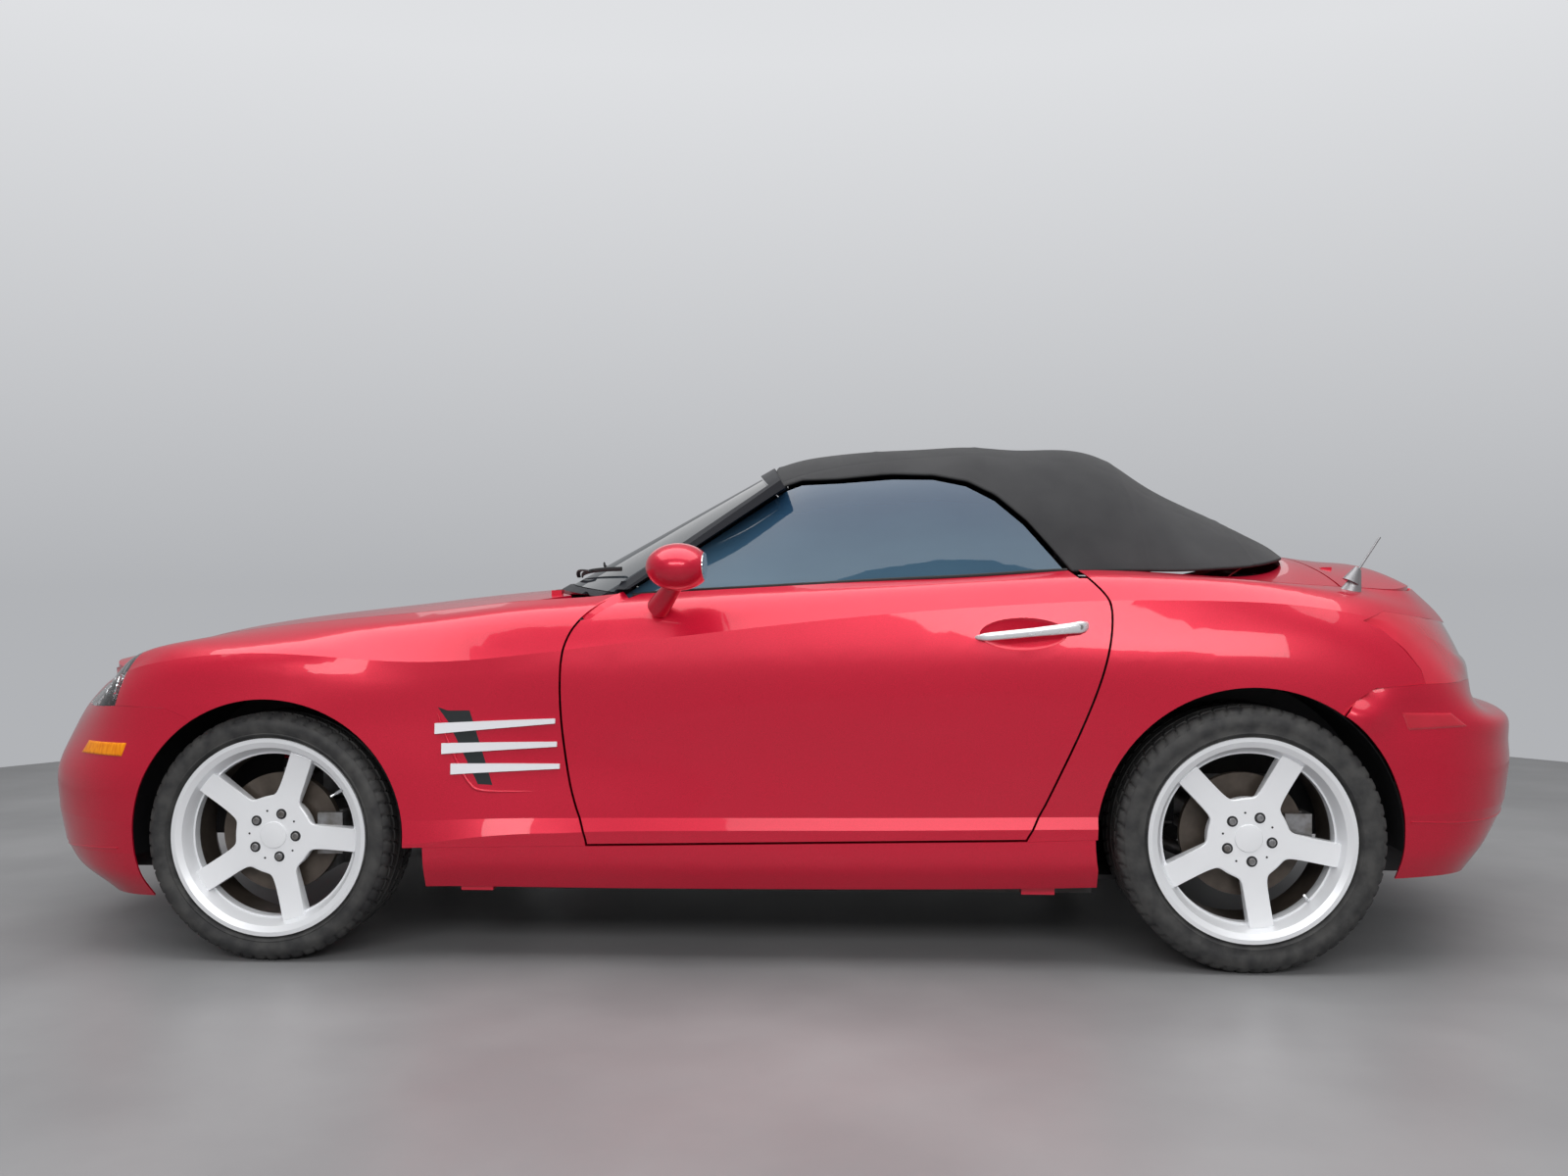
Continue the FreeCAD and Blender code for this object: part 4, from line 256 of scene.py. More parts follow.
# Principled finish. Tones, gloss and bump each start with a noise, (scale, detail, stretch), and go on with the two
# tones, the two roughnesses, or strength and distance
def newMaterial(name, color, roughness, metallic=0.0, tones=None, gloss=None, bump=None, **sockets):
    material = bpy.data.materials.new(name)
    material.use_nodes = True
    material.diffuse_color = (*color, 1)
    sockets.update(Base_Color=(*color, 1), Roughness=roughness, Metallic=metallic)
    for socket, value in sockets.items():
        shaderOf(material).inputs[socket.replace("_", " ")].default_value = value
    if tones:
        varyColor(material, noiseOf(material, *tones[0]), *tones[1:])
    if gloss:
        varyRoughness(material, noiseOf(material, *gloss[0]), *gloss[1:])
    if bump:
        bumpFrom(material, noiseOf(material, *bump[0]), "Fac", *bump[1:])
    return material


# A node whose sockets, or settings where there is no such socket, take the given values
def addNode(material, kind, **values):
    node = material.node_tree.nodes.new(kind)
    for name, value in values.items():
        socket = name.replace("_", " ")
        if socket in node.inputs:
            node.inputs[socket].default_value = value
        else:
            setattr(node, name, value)
    return node


def link(material, start, startSocket, end, endSocket):
    material.node_tree.links.new(start.outputs[startSocket], end.inputs[endSocket])


# One step of a chain: a new node whose input takes what the node before gives out
def nextNode(material, start, startSocket, kind, endSocket, **values):
    node = addNode(material, kind, **values)
    link(material, start, startSocket, node, endSocket)
    return node


# Colour that goes from the dark to the light tone while the value goes from low to top
def rampOf(material, start, startSocket, dark, light, low=0.0, top=1.0):
    ramp = nextNode(material, start, startSocket, "ShaderNodeValToRGB", "Fac")
    for element, tone, position in zip(ramp.color_ramp.elements, (dark, light), (low, top)):
        element.color, element.position = (*tone, 1), position
    return ramp


def shaderOf(material):
    return material.node_tree.nodes["Principled BSDF"]


# Noise on Object coordinates, stretched along the axes
def noiseOf(material, scale, detail=3.0, stretch=(1, 1, 1)):
    place = addNode(material, "ShaderNodeTexCoord")
    mapping = nextNode(material, place, "Object", "ShaderNodeMapping", "Vector", Scale=stretch)
    return nextNode(material, mapping, "Vector", "ShaderNodeTexNoise", "Vector", Scale=scale, Detail=detail)


# Colour that wanders between two tones with the noise
def varyColor(material, noise, dark, light, low=0.35, top=0.65):
    link(material, rampOf(material, noise, "Fac", dark, light, low, top), "Color", shaderOf(material), "Base Color")


def varyRoughness(material, noise, low, top):  # the noise spread over the span from low to top
    span = nextNode(material, noise, "Fac", "ShaderNodeMapRange", "Value", To_Min=low, To_Max=top)
    link(material, span, "Result", shaderOf(material), "Roughness")


# The source read as a height in metres of the given distance
def bumpFrom(material, source, socket, strength, distance, target="Normal"):
    bump = nextNode(material, source, socket, "ShaderNodeBump", "Height", Strength=strength, Distance=distance)
    link(material, bump, "Normal", shaderOf(material), target)


paintLook = {"color": (0.70, 0.003, 0.040), "deep": (0.54, 0.002, 0.023), "flake": 900.0, "peel": 60.0}

# Candy paint: metallic red whose flakes change its tone, under a clear coat with a trace of orange peel
redPaint = newMaterial("redPaint", paintLook["color"], 0.34, 0.35,
                       tones=((paintLook["flake"], 1.0), paintLook["deep"], paintLook["color"], 0.38, 0.62),
                       Coat_Weight=0.8, Coat_Roughness=0.03, Coat_IOR=1.38)
bumpFrom(redPaint, noiseOf(redPaint, paintLook["peel"], 2.0), "Fac", 0.015, 0.001, "Coat Normal")
# Black plastic; the same finish also paints the shade in the wheels' bolt wells and face holes and on the splash
# guards
blackPlasticAndShade = newMaterial("blackPlasticAndShade", (0.018, 0.018, 0.02), 0.5, gloss=((40.0,), 0.42, 0.58),
                           bump=((420.0,), 0.2, 0.0006))
frameBlack = newMaterial("frameBlack", (0.012, 0.013, 0.017), 0.42, gloss=((14.0,), 0.36, 0.5),
                         Specular_IOR_Level=0.15)
sealRubber = newMaterial("sealRubber", (0.010, 0.010, 0.011), 0.62, gloss=((50.0,), 0.55, 0.7),
                         bump=((700.0,), 0.15, 0.0003))
underPaint = newMaterial("underPaint", (0.035, 0.035, 0.038), 0.6,
                         tones=((9.0, 6.0), (0.022, 0.022, 0.024), (0.06, 0.056, 0.052)))
castIron = newMaterial("castIron", (0.16, 0.16, 0.165), 0.55, 0.7, bump=((160.0,), 0.4, 0.001))
wheelSilver = newMaterial("wheelSilver", (0.93, 0.94, 0.96), 0.32, 0.2, gloss=((22.0, 5.0), 0.26, 0.4),
                          bump=((900.0,), 0.04, 0.0003), Coat_Weight=0.5, Coat_Roughness=0.12)
satinSilver = newMaterial("satinSilver", (0.82, 0.82, 0.84), 0.26, 0.5, gloss=((60.0, 4.0, (0.2, 1, 1)), 0.2, 0.34))
chromeLook = newMaterial("chromeLook", (0.78, 0.79, 0.80), 0.07, 1.0, gloss=((25.0, 4.0), 0.04, 0.12))
steelLook = newMaterial("steelLook", (0.30, 0.30, 0.31), 0.42, 0.9,
                        tones=((30.0, 5.0), (0.20, 0.185, 0.17), (0.36, 0.36, 0.37)))
clearLens = newMaterial("clearLens", (0.93, 0.95, 0.97), 0.02, gloss=((6.0,), 0.0, 0.03), Transmission_Weight=1.0,
                        IOR=1.08, Coat_Weight=1.0)
redLens = newMaterial("redLens", (0.62, 0.006, 0.030), 0.08, Transmission_Weight=0.1, Coat_Weight=1.0,
                      tones=((5.0,), (0.54, 0.004, 0.022), (0.68, 0.010, 0.040)))
amberLens = newMaterial("amberLens", (0.85, 0.26, 0.005), 0.3, Specular_IOR_Level=0.2,
                        tones=((160.0, 2.0, (1, 1, 0.15)), (0.78, 0.20, 0.003), (0.95, 0.33, 0.008)))
eyeGlass = newMaterial("eyeGlass", (0.55, 0.60, 0.68), 0.05, gloss=((40.0,), 0.02, 0.08), Transmission_Weight=0.3,
                       IOR=1.5, Coat_Weight=1.0)
finGray = newMaterial("finGray", (0.27, 0.27, 0.28), 0.35, 0.5, gloss=((60.0,), 0.28, 0.42))
plateWhite = newMaterial("plateWhite", (0.72, 0.72, 0.70), 0.35,
                         tones=((30.0, 4.0), (0.66, 0.66, 0.64), (0.76, 0.76, 0.74)))
rubberLook = newMaterial("tyreRubber", (0.014, 0.014, 0.015), 0.72, gloss=((9.0, 4.0), 0.62, 0.8),
                         tones=((24.0, 6.0), (0.022, 0.022, 0.023), (0.056, 0.055, 0.053)),
                         bump=((300.0,), 0.25, 0.0006))


# Glass: its tone runs from the low to the top tone over the span of heights and wanders a little with a noise; the
# lighter low and darker top tone are partly tint and partly painted reflection
def makeGlass(name, low, top, clear, span, **sockets):
    glass = newMaterial(name, low, 0.015, Transmission_Weight=clear, IOR=1.5, **sockets)
    place = addNode(glass, "ShaderNodeTexCoord")
    split = nextNode(glass, place, "Object", "ShaderNodeSeparateXYZ", "Vector")
    rise = nextNode(glass, split, "Z", "ShaderNodeMapRange", "Value", From_Min=span[0], From_Max=span[1])
    noise = noiseOf(glass, 3.2, 3.0, (1, 1, 2.4))
    stir = nextNode(glass, noise, "Fac", "ShaderNodeMath", 0, operation="MULTIPLY_ADD")
    stir.inputs[1].default_value, stir.inputs[2].default_value = 0.5, -0.25
    total = nextNode(glass, rise, "Result", "ShaderNodeMath", 0, operation="ADD")
    link(glass, stir, "Value", total, 1)
    link(glass, rampOf(glass, total, "Value", low, top), "Color", shaderOf(glass), "Base Color")
    return glass


# Both panes' diffuse tones, darker high up, are partly tint and partly painted reflection
sideGlass = makeGlass("sideGlass", (0.065, 0.14, 0.21), (0.020, 0.060, 0.12), 0.35, (high(.70), high(.87)),
                      Coat_Weight=0.1, Specular_IOR_Level=0.35)
screenGlass = makeGlass("screenGlass", (0.030, 0.038, 0.046), (0.014, 0.018, 0.024), 0.2, (high(.71), high(.96)),
                        Specular_IOR_Level=0.12)


# Canvas: two crossed wave patterns on the cloth's own metres make the weave, with slow patches of wear
def makeCanvas(name, look):
    canvas = newMaterial(name, look["light"], 0.95, Sheen_Weight=0.08, Sheen_Roughness=0.5, Specular_IOR_Level=0.25,
                         tones=((look["patches"], 6.0), look["dark"], look["light"], 0.3, 0.7))
    place = addNode(canvas, "ShaderNodeUVMap", uv_map="cloth")
    height = addNode(canvas, "ShaderNodeMath", operation="ADD")
    for k, way in enumerate(("X", "Y")):
        wave = nextNode(canvas, place, "UV", "ShaderNodeTexWave", "Vector", bands_direction=way,
                        Scale=look["threads"], Distortion=0.6)
        link(canvas, wave, "Fac", height, k)
    bumpFrom(canvas, height, "Value", 0.35, 0.0005)
    return canvas


canvasLook = {"dark": (0.028, 0.028, 0.030), "light": (0.042, 0.042, 0.044), "threads": 160.0, "patches": 7.0}
roofCanvas = makeCanvas("roofCanvas", canvasLook)


# Leather: cells for the grain, its tone and gloss wandering
def makeLeather(name, dark, light, grain):
    leather = newMaterial(name, light, 0.55, Sheen_Weight=0.1, tones=((8.0, 5.0), dark, light),
                          gloss=((30.0, 3.0), 0.45, 0.65))
    place = addNode(leather, "ShaderNodeTexCoord")
    cells = nextNode(leather, place, "Object", "ShaderNodeTexVoronoi", "Vector", Scale=grain)
    bumpFrom(leather, cells, "Distance", 0.35, 0.0006)
    return leather


seatLeather = makeLeather("seatLeather", (0.045, 0.044, 0.043), (0.075, 0.073, 0.070), 420.0)
trimLeather = makeLeather("trimLeather", (0.016, 0.016, 0.017), (0.028, 0.028, 0.029), 500.0)


# 1 where a value worked out from the Object coordinates is over the level, else 0
def isOver(material, start, startSocket, level):
    over = nextNode(material, start, startSocket, "ShaderNodeMath", 0, operation="GREATER_THAN")
    over.inputs[1].default_value = level
    return over


# Fender vents: silver where the strakes stand proud of the skin, painted shade near black in the opening behind them.
# The skin's distance from the middle plane falls off evenly with x and z: |y| + x slope + z slope is compared with
# one number
def makeVentLook(slopeX, slopeZ, level):
    vent = newMaterial("ventLook", (0.82, 0.82, 0.84), 0.28, bump=((500.0,), 0.05, 0.0004))
    place = addNode(vent, "ShaderNodeTexCoord")
    size = nextNode(vent, place, "Object", "ShaderNodeVectorMath", 0, operation="ABSOLUTE")
    tilt = nextNode(vent, size, "Vector", "ShaderNodeVectorMath", 0, operation="DOT_PRODUCT")
    tilt.inputs[1].default_value = (slopeX, 1.0, slopeZ)
    # the near-black tone is painted shade in the vent's opening
    ramp = rampOf(vent, isOver(vent, tilt, "Value", level), "Value", (.018, .022, .024), (.82, .82, .85))
    link(vent, ramp, "Color", shaderOf(vent), "Base Color")
    return vent


# Rims: silver outside a plane through the spokes' backs; behind it the brake disc is brown iron, and the barrel
# darkened with it is painted shade
def makeRimLook(plane, silver):
    rim = newMaterial("rimLook", silver, 0.34, 0.3, gloss=((22.0, 5.0), 0.28, 0.44))
    place = addNode(rim, "ShaderNodeTexCoord")
    split = nextNode(rim, place, "Object", "ShaderNodeSeparateXYZ", "Vector")
    size = nextNode(rim, split, "Y", "ShaderNodeMath", 0, operation="ABSOLUTE")
    both = nextNode(rim, isOver(rim, size, "Value", plane), "Value", "ShaderNodeMixRGB", "Fac", Color2=(*silver, 1))
    # the iron tone also paints shade on the barrel behind the spokes
    ironAndShade = rampOf(rim, noiseOf(rim, 26.0, 5.0), "Fac", (.035, .026, .020), (.13, .105, .085))
    link(rim, ironAndShade, "Color", both, "Color1")
    link(rim, both, "Color", shaderOf(rim), "Base Color")
    return rim


ventLook = makeVentLook(-0.055, 0.055, 0.8307)
rimLook = makeRimLook(0.7805, (0.86, 0.87, 0.89))

nodeFinish = {
    redPaint: ["front_bumper", "front_fenders", "sills", "quarter_panels", "rear_bumper", "door_left",
               "door_right", "hood", "trunk_lid", "tonneau_cover", "door_mirror_left", "door_mirror_right"],
    frameBlack: ["windshield_frame"], finGray: ["antenna"],
    blackPlasticAndShade: ["grilles", "wheel_liners"],
    trimLeather: ["dashboard", "steering_wheel"],
    clearLens: ["headlamps"], redLens: ["tail_lamps"],
    sideGlass: ["rear_window", "door_glass_left", "door_glass_right"],
    screenGlass: ["windshield_glass"],
    rubberLook: ["tyre_front_left", "tyre_front_right", "tyre_rear_left", "tyre_rear_right"],
    rimLook: ["rim_front_left", "rim_front_right", "rim_rear_left", "rim_rear_right"],
    ventLook: ["fender_vents"],
    steelLook: ["knuckle_left", "knuckle_right", "front_suspension", "rear_suspension", "exhaust"],
    castIron: ["engine_block"],
    underPaint: ["floor_pan", "firewall", "side_frames", "boot_tub"],
    roofCanvas: ["soft_top"], seatLeather: ["seats"],
}
for finish, names in nodeFinish.items():
    for name in names:
        nodes[name].data.materials.clear()
        nodes[name].data.materials.append(finish)
print("finishes assigned")

# Soft top: (place, share) pairs of its crown, foot and half width, and how square its section is
roof = {
    "start": 0.5175, "end": 1.2915,
    "crown": [(.515, .9635), (.5404, .978), (.632, .994), (.7458, 1.0), (.79, .9955), (.899, .9735), (.928, .94),
              (.963, .9034), (1.1, .8426), (1.22, .806), (1.302, .778)],
    "foot": [(.515, .69), (.65, .712), (.83, .7325), (.95, .7335), (1.05, .739), (1.15, .7475), (1.25, .7585),
             (1.31, .766)],
    "half": [(.515, .83), (.65, .845), (.80, .84), (.86, .81), (.92, .775), (1.0, .725), (1.1, .65), (1.18, .56),
             (1.23, .46), (1.262, .34), (1.292, .14)],
    "power": [(.515, 3.4), (.64, 4.2), (.85, 4.0), (1.0, 2.9), (1.25, 2.2)],
    "window": [(.3446, .684), (.36, .6893), (.4412, .7886), (.53, .9015), (.5480, .9135), (.5896, .9150),
               (.6492, .9217), (.6925, .9194), (.7279, .9042), (.7575, .8730), (.7863, .8243), (.8096, .7711),
               (.8283, .7290), (.835, .60)],
    "clearance": 0.012, "bows": (.5175, .632, .7458, .899, 1.06, 1.2915), "lean": 0.035,
    "sag": 0.0028, "ridge": 0.0013, "fold": 0.0011, "cloth": 0.0035, "binding": 0.0042, "hemSunk": 0.001,
    "seam": {"depth": 0.0012, "width": 0.0035, "y": .52, "end": 1.02},
    "folds": {"start": .80, "fade": 0.04, "waves": (34, 19), "ways": ((0.82, 0.57), (0.5, -0.86)),
              "second": 0.7, "wander": (2.2, 9)},
    "glass": (.985, 1.135, .34, .80), "glassBinding": (0.010, 0.0026),
}
crownLine, footLine, halfLine, powerLine = (
    naturalSpline(along([p for p, _ in roof[name]]), measure([v for _, v in roof[name]]))
    for name, measure in (("crown", high), ("foot", high), ("half", wide), ("power", np.asarray)))


# Outside of the soft top: z = foot + (crown - foot)(1 - |s|^power) at half width times s
def roofPoint(x, s):
    foot, crown = footLine(x), crownLine(x)
    return np.stack([x + 0 * s, halfLine(x) * s, foot + (crown - foot) * (1 - np.abs(s) ** powerLine(x))], -1)


# Lower edge of the cloth as a share of the half width: the window's outline moved out square to itself
def roofEdgeShare(x):
    places = along([p for p, _ in roof["window"]])
    heights = high([v for _, v in roof["window"]])
    way = np.stack([np.gradient(places), np.gradient(heights)], -1)
    way = unit(way) * roof["clearance"]
    top = np.interp(x, places - way[:, 1], heights + way[:, 0])
    foot, crown = footLine(x), crownLine(x)
    inside = (x < along(.835) + roof["clearance"]) & (top > foot)
    share = np.clip(1 - (top - foot) / (crown - foot), 0, 1) ** (1 / powerLine(x))
    return np.where(inside, share, 1.0)


# Sag between the bows as sin squared of the way between them, a narrow rise over each bow, slant folds at the sides
# as two crossing sines, and a seam along the roof as a bell pressed in
def roofRelief(x, s):
    lean = roof["lean"] * np.abs(s) ** 3
    phase = np.interp(x - lean, along(roof["bows"]), np.arange(len(roof["bows"])))
    sag = -roof["sag"] * np.sin(np.pi * phase) ** 2 * (1 - s ** 8)
    ridge = roof["ridge"] * np.abs(np.cos(np.pi * phase)) ** 300
    place = roofPoint(x, s)
    folds, seam = roof["folds"], roof["seam"]
    behind = 1 / (1 + np.exp(-(x - along(folds["start"])) / folds["fade"])) * np.abs(s) ** 2
    wander = folds["wander"][0] * np.sin(folds["wander"][1] * place[..., 2])
    slant, slack = (np.sin(waves * (place[..., 0] * a + place[..., 2] * b) + push)
                    for waves, (a, b), push in zip(folds["waves"], folds["ways"], (wander, 0.0)))
    fromSeam = (np.abs(place[..., 1]) - wide(seam["y"])) / seam["width"]
    sewn = -seam["depth"] * np.exp(-fromSeam ** 2) * (x < along(seam["end"]))
    return sag + ridge + roof["fold"] * behind * (slant + folds["second"] * slack) + sewn


def roofSurface(x, s, lift=0.0):  # the outside moved along its normal by the relief
    point = roofPoint(x, s)
    step = 1e-4
    alongX = roofPoint(x + step, s) - roofPoint(x - step, s)
    acrossS = roofPoint(x, s + step) - roofPoint(x, s - step)
    normal = unit(np.cross(alongX, acrossS))
    return point + normal * (roofRelief(x, s) + lift)[..., None], normal


roofX = np.unique(np.concatenate([np.linspace(along(a), along(b), n) for a, b, n in (
    (roof["start"], .79, 70), (.79, .85, 46), (.85, roof["end"], 130))]))
roofV = np.sin(np.linspace(-1, 1, 129) * np.pi / 2)
roofGridX = np.repeat(roofX[:, None], len(roofV), 1)
roofGridS = roofV[None] * roofEdgeShare(roofX)[:, None]
clothPoints, _ = roofSurface(roofGridX, roofGridS)
clothFaces = gridFaces(*clothPoints.shape[:2])
flatPoints = clothPoints.reshape(-1, 3)
centres = flatPoints[clothFaces].mean(1)
glassStart, glassEnd = along(roof["glass"][0]), along(roof["glass"][1])
glassHalf, glassFoot = wide(roof["glass"][2]), high(roof["glass"][3])
inGlass = ((centres[:, 0] > glassStart) & (centres[:, 0] < glassEnd) & (np.abs(centres[:, 1]) < glassHalf)
           & (centres[:, 2] > glassFoot))
clothFaces = clothFaces[~inGlass][:, ::-1]
clothMesh = bpy.data.meshes.new("softTopCloth")
clothMesh.from_pydata(flatPoints.tolist(), [], clothFaces.tolist())
middle = len(roofV) // 2
runX = np.concatenate([[0], np.cumsum(np.linalg.norm(np.diff(clothPoints[:, middle], axis=0), axis=1))])
runV = np.cumsum(np.linalg.norm(np.diff(clothPoints, axis=1, prepend=clothPoints[:, :1]), axis=2), axis=1)
clothUv = np.stack([np.repeat(runX[:, None], len(roofV), 1), runV - runV[:, [middle]]], -1).reshape(-1, 2)
clothMesh.uv_layers.new(name="cloth").data.foreach_set("uv", clothUv[clothFaces.ravel()].ravel())
clothMesh.shade_smooth()
clothMesh.materials.append(roofCanvas)
softTopCloth = addObject("softTopCloth", clothMesh, "chassis")
thicken = softTopCloth.modifiers.new("thickness", "SOLIDIFY")
thicken.thickness, thicken.offset = roof["cloth"], -1.0
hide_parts("soft_top")

# The hem runs along the left edge, the tail, the right edge and the front, a little under the cloth's outside
edgeShare = roofEdgeShare(roofX)
tailShare = np.linspace(-1, 1, 13)[1:-1]
frontShare = np.linspace(1, -1, 41)[1:-1] * edgeShare[0]
hemRuns = [(roofX, -edgeShare), (np.full(len(tailShare), roofX[-1]), tailShare), (roofX[::-1], edgeShare[::-1]),
           (np.full(len(frontShare), roofX[0]), frontShare)]
hemPath = np.concatenate([roofSurface(x, s, -roof["hemSunk"])[0] for x, s in hemRuns])
makePiece("softTopHem", tubeGrid(hemPath, roof["binding"], roof["binding"], sides=10, closed=True), sealRubber,
          "chassis", closeRows=True, closeColumns=True)


# Rounded rectangle on the roof, walked as a superellipse of high power in (x, y), set on the cloth's surface
def glassRing(grow, lift, count=160):
    turn, corner = fullTurn(count), 0.12
    x = (glassStart + glassEnd) / 2 + bent(np.cos(turn), corner) * ((glassEnd - glassStart) / 2 + grow)
    return roofSurface(x, bent(np.sin(turn), corner) * (glassHalf + grow) / halfLine(x), lift)


ringPath, ringNormals = glassRing(0.001, 0.0)
makePiece("rearWindowBinding", tubeGrid(ringPath, *roof["glassBinding"], normal=ringNormals, closed=True, power=0.7),
          sealRubber, "chassis", closeRows=True, closeColumns=True)

# One seat's parts on the left; the right one is its mirror image. Places are metres in the seat's side plane; "sewn"
# is how far the channels reach along, across and up, as shares of the pad's radii
seat = {
    "middle": -0.370,
    "cushion": {"centre": (0.352, 0.405), "radii": (0.196, 0.205, 0.068), "tilt": -4.5, "bolster": 0.030},
    "back": {"centre": (0.722, 0.700), "radii": (0.275, 0.200, 0.056), "tilt": 71.5, "bolster": 0.034},
    "headrest": {"centre": (0.822, 1.026), "radii": (0.058, 0.118, 0.038), "tilt": 74.0, "bolster": 0.004},
    "voxel": 0.0055, "pressure": 4.0, "frames": 20, "cap": 0.022, "channel": 0.0045, "stitch": 0.0055, "fill": 0.6,
    "sewn": (0.9, 0.64, 0.4),
}


# Pad before it is filled: a superellipsoid, along u its length and v its girth, its sides raised into bolsters
def padGrid(power=0.42, thin=0.6, pull=0.05):
    u = np.linspace(-np.pi / 2, np.pi / 2, 41)[:, None]
    v = fullTurn(64)[None]
    run = bent(np.sin(u), power) + 0 * v
    girth = bent(np.cos(u), power)
    across, up = girth * bent(np.cos(v), power), girth * bent(np.sin(v), thin)
    drawn = 1 - pull * (1 - run ** 2) * np.abs(across) ** 3  # the sides pull in between the corners
    return run, across * drawn, up


# A pad's points in metres: scaled by its radii, narrowed towards its far end by the taper, its sides raised with the
# fourth power of the place across, then turned by its tilt in the seat's side plane
def placePad(form, run, across, up, taper):
    a, b, c = form["radii"]
    tilt = math.radians(form["tilt"])
    lengthways, sideways = run * a, across * b * (1 - taper * (run + 1) / 2)
    lift = up * c + form["bolster"] * np.abs(across) ** 4 * (up > -0.4)
    x = form["centre"][0] + lengthways * math.cos(tilt) - lift * math.sin(tilt)
    z = form["centre"][1] + lengthways * math.sin(tilt) + lift * math.cos(tilt)
    return np.stack([x, seat["middle"] + sideways, z], -1)


# Filled by Blender's cloth: remeshed, blown up by pressure, its moves capped, then channels sewn in
def fillPad(name, form, taper, channels):
    run, across, up = padGrid()
    pad = makePiece(name, placePad(form, run, across, up, taper), seatLeather, "chassis",
                    closeColumns=True, crease=180)
    remesh = pad.modifiers.new("remesh", "REMESH")
    remesh.mode, remesh.voxel_size, remesh.use_smooth_shade = "VOXEL", seat["voxel"], True
    applyModifiers(pad)
    start = pointsOf(pad)
    cloth = pad.modifiers.new("cloth", "CLOTH")
    cloth.settings.use_pressure, cloth.settings.uniform_pressure_force = True, seat["pressure"]
    cloth.settings.effector_weights.gravity = 0.0
    cloth.settings.quality = 4
    cloth.point_cache.frame_start, cloth.point_cache.frame_end = 1, seat["frames"]
    for step in range(1, seat["frames"] + 1):
        bpy.context.scene.frame_set(step)
    applyModifiers(pad)
    bpy.context.scene.frame_set(1)
    moved = pointsOf(pad) - start
    length = np.linalg.norm(moved, axis=1, keepdims=True)
    filled = start + moved * np.minimum(1, seat["cap"] / np.maximum(length, 1e-9))
    a, b, c = form["radii"]
    tilt = math.radians(form["tilt"])
    away = filled - np.array([form["centre"][0], seat["middle"], form["centre"][1]])
    lengthways = away[:, 0] * math.cos(tilt) + away[:, 2] * math.sin(tilt)
    lift = -away[:, 0] * math.sin(tilt) + away[:, 2] * math.cos(tilt)
    sewnAlong, sewnAcross, sewnUp = seat["sewn"]
    groove = np.zeros(len(filled))
    for kind, place in channels:
        distance = (lengthways / a - place) * a if kind == "across" else (np.abs(away[:, 1]) / b - place) * b
        inside = np.abs(away[:, 1]) < b * sewnAcross if kind == "across" else np.abs(lengthways) < a * sewnAlong
        groove = np.maximum(groove, np.exp(-(distance / seat["stitch"]) ** 2) * inside)
    groove = groove * np.clip(lift / (c * sewnUp), 0, 1) * seat["channel"]
    filled[:, 0] += groove * math.sin(tilt)
    filled[:, 2] -= groove * math.cos(tilt)
    pad.data.vertices.foreach_set("co", filled.ravel())
    pad.data.update()
    smooth = pad.modifiers.new("smooth", "SUBSURF")
    smooth.levels = smooth.render_levels = 1
    applyModifiers(pad)
    pad.data.shade_smooth()
    twin = addObject(name.replace("Left", "Right"), pad.data.copy(), "chassis")
    twin.data.vertices.foreach_set("co", mirrored(pointsOf(pad)).ravel())
    twin.data.flip_normals()
    twin.data.update()
    for piece in (pad, twin):
        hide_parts("seats")
    print(name, "filled:", len(pad.data.polygons), "faces")


def pointsOf(piece):  # the places of a piece's vertices, one row each
    places = np.empty(len(piece.data.vertices) * 3, np.float32)
    piece.data.vertices.foreach_get("co", places)
    return places.reshape(-1, 3).astype(float)


def applyModifiers(piece):  # the evaluated mesh takes the place of the piece's own
    finished = bpy.data.meshes.new_from_object(piece.evaluated_get(bpy.context.evaluated_depsgraph_get()))
    piece.modifiers.clear()
    old = piece.data
    piece.data = finished
    bpy.data.meshes.remove(old)


for name, part, taper, acrossAt, alongAt in (
        ("seatCushionLeft", "cushion", 0.06, (-0.45, 0.0, 0.45), (0.66,)),
        ("seatBackLeft", "back", 0.24, (-0.5, -0.1, 0.3, 0.66), (0.66,)),
        ("seatHeadrestLeft", "headrest", 0.10, (0.0,), ())):
    fillPad(name, seat[part], taper, [("across", at) for at in acrossAt] + [("along", at) for at in alongAt])


# Seat base and back shell: rounded boxes, a superellipse in each of two planes
def roundBox(centre, radii, tilt=0.0, power=0.25, steps=(25, 40)):
    u = np.linspace(-np.pi / 2, np.pi / 2, steps[0])[:, None]
    v = fullTurn(steps[1])[None]
    parts = [bent(w, power) for w in (np.sin(u) + 0 * v, np.cos(u) * np.cos(v), np.cos(u) * np.sin(v))]
    up, x, y = parts[0] * radii[2], parts[1] * radii[0], parts[2] * radii[1]
    turn = math.radians(tilt)
    return np.stack([centre[0] + x * math.cos(turn) - up * math.sin(turn), centre[1] + y,
                     centre[2] + x * math.sin(turn) + up * math.cos(turn)], -1)


base = {"centre": (0.42, 0.262), "radii": (0.235, 0.185, 0.070), "tilt": 0, "power": 0.2}
shell = {"centre": (0.772, 0.700), "radii": (0.255, 0.185, 0.016), "tilt": 74.5, "power": 0.3}
makeSides(*((name, roundBox((form["centre"][0], seat["middle"], form["centre"][1]), form["radii"], form["tilt"],
                            form["power"]), blackPlasticAndShade, "chassis", "black_trim", 38)
            for name, form in (("seatBase", base), ("seatShell", shell))))
print("seats done")

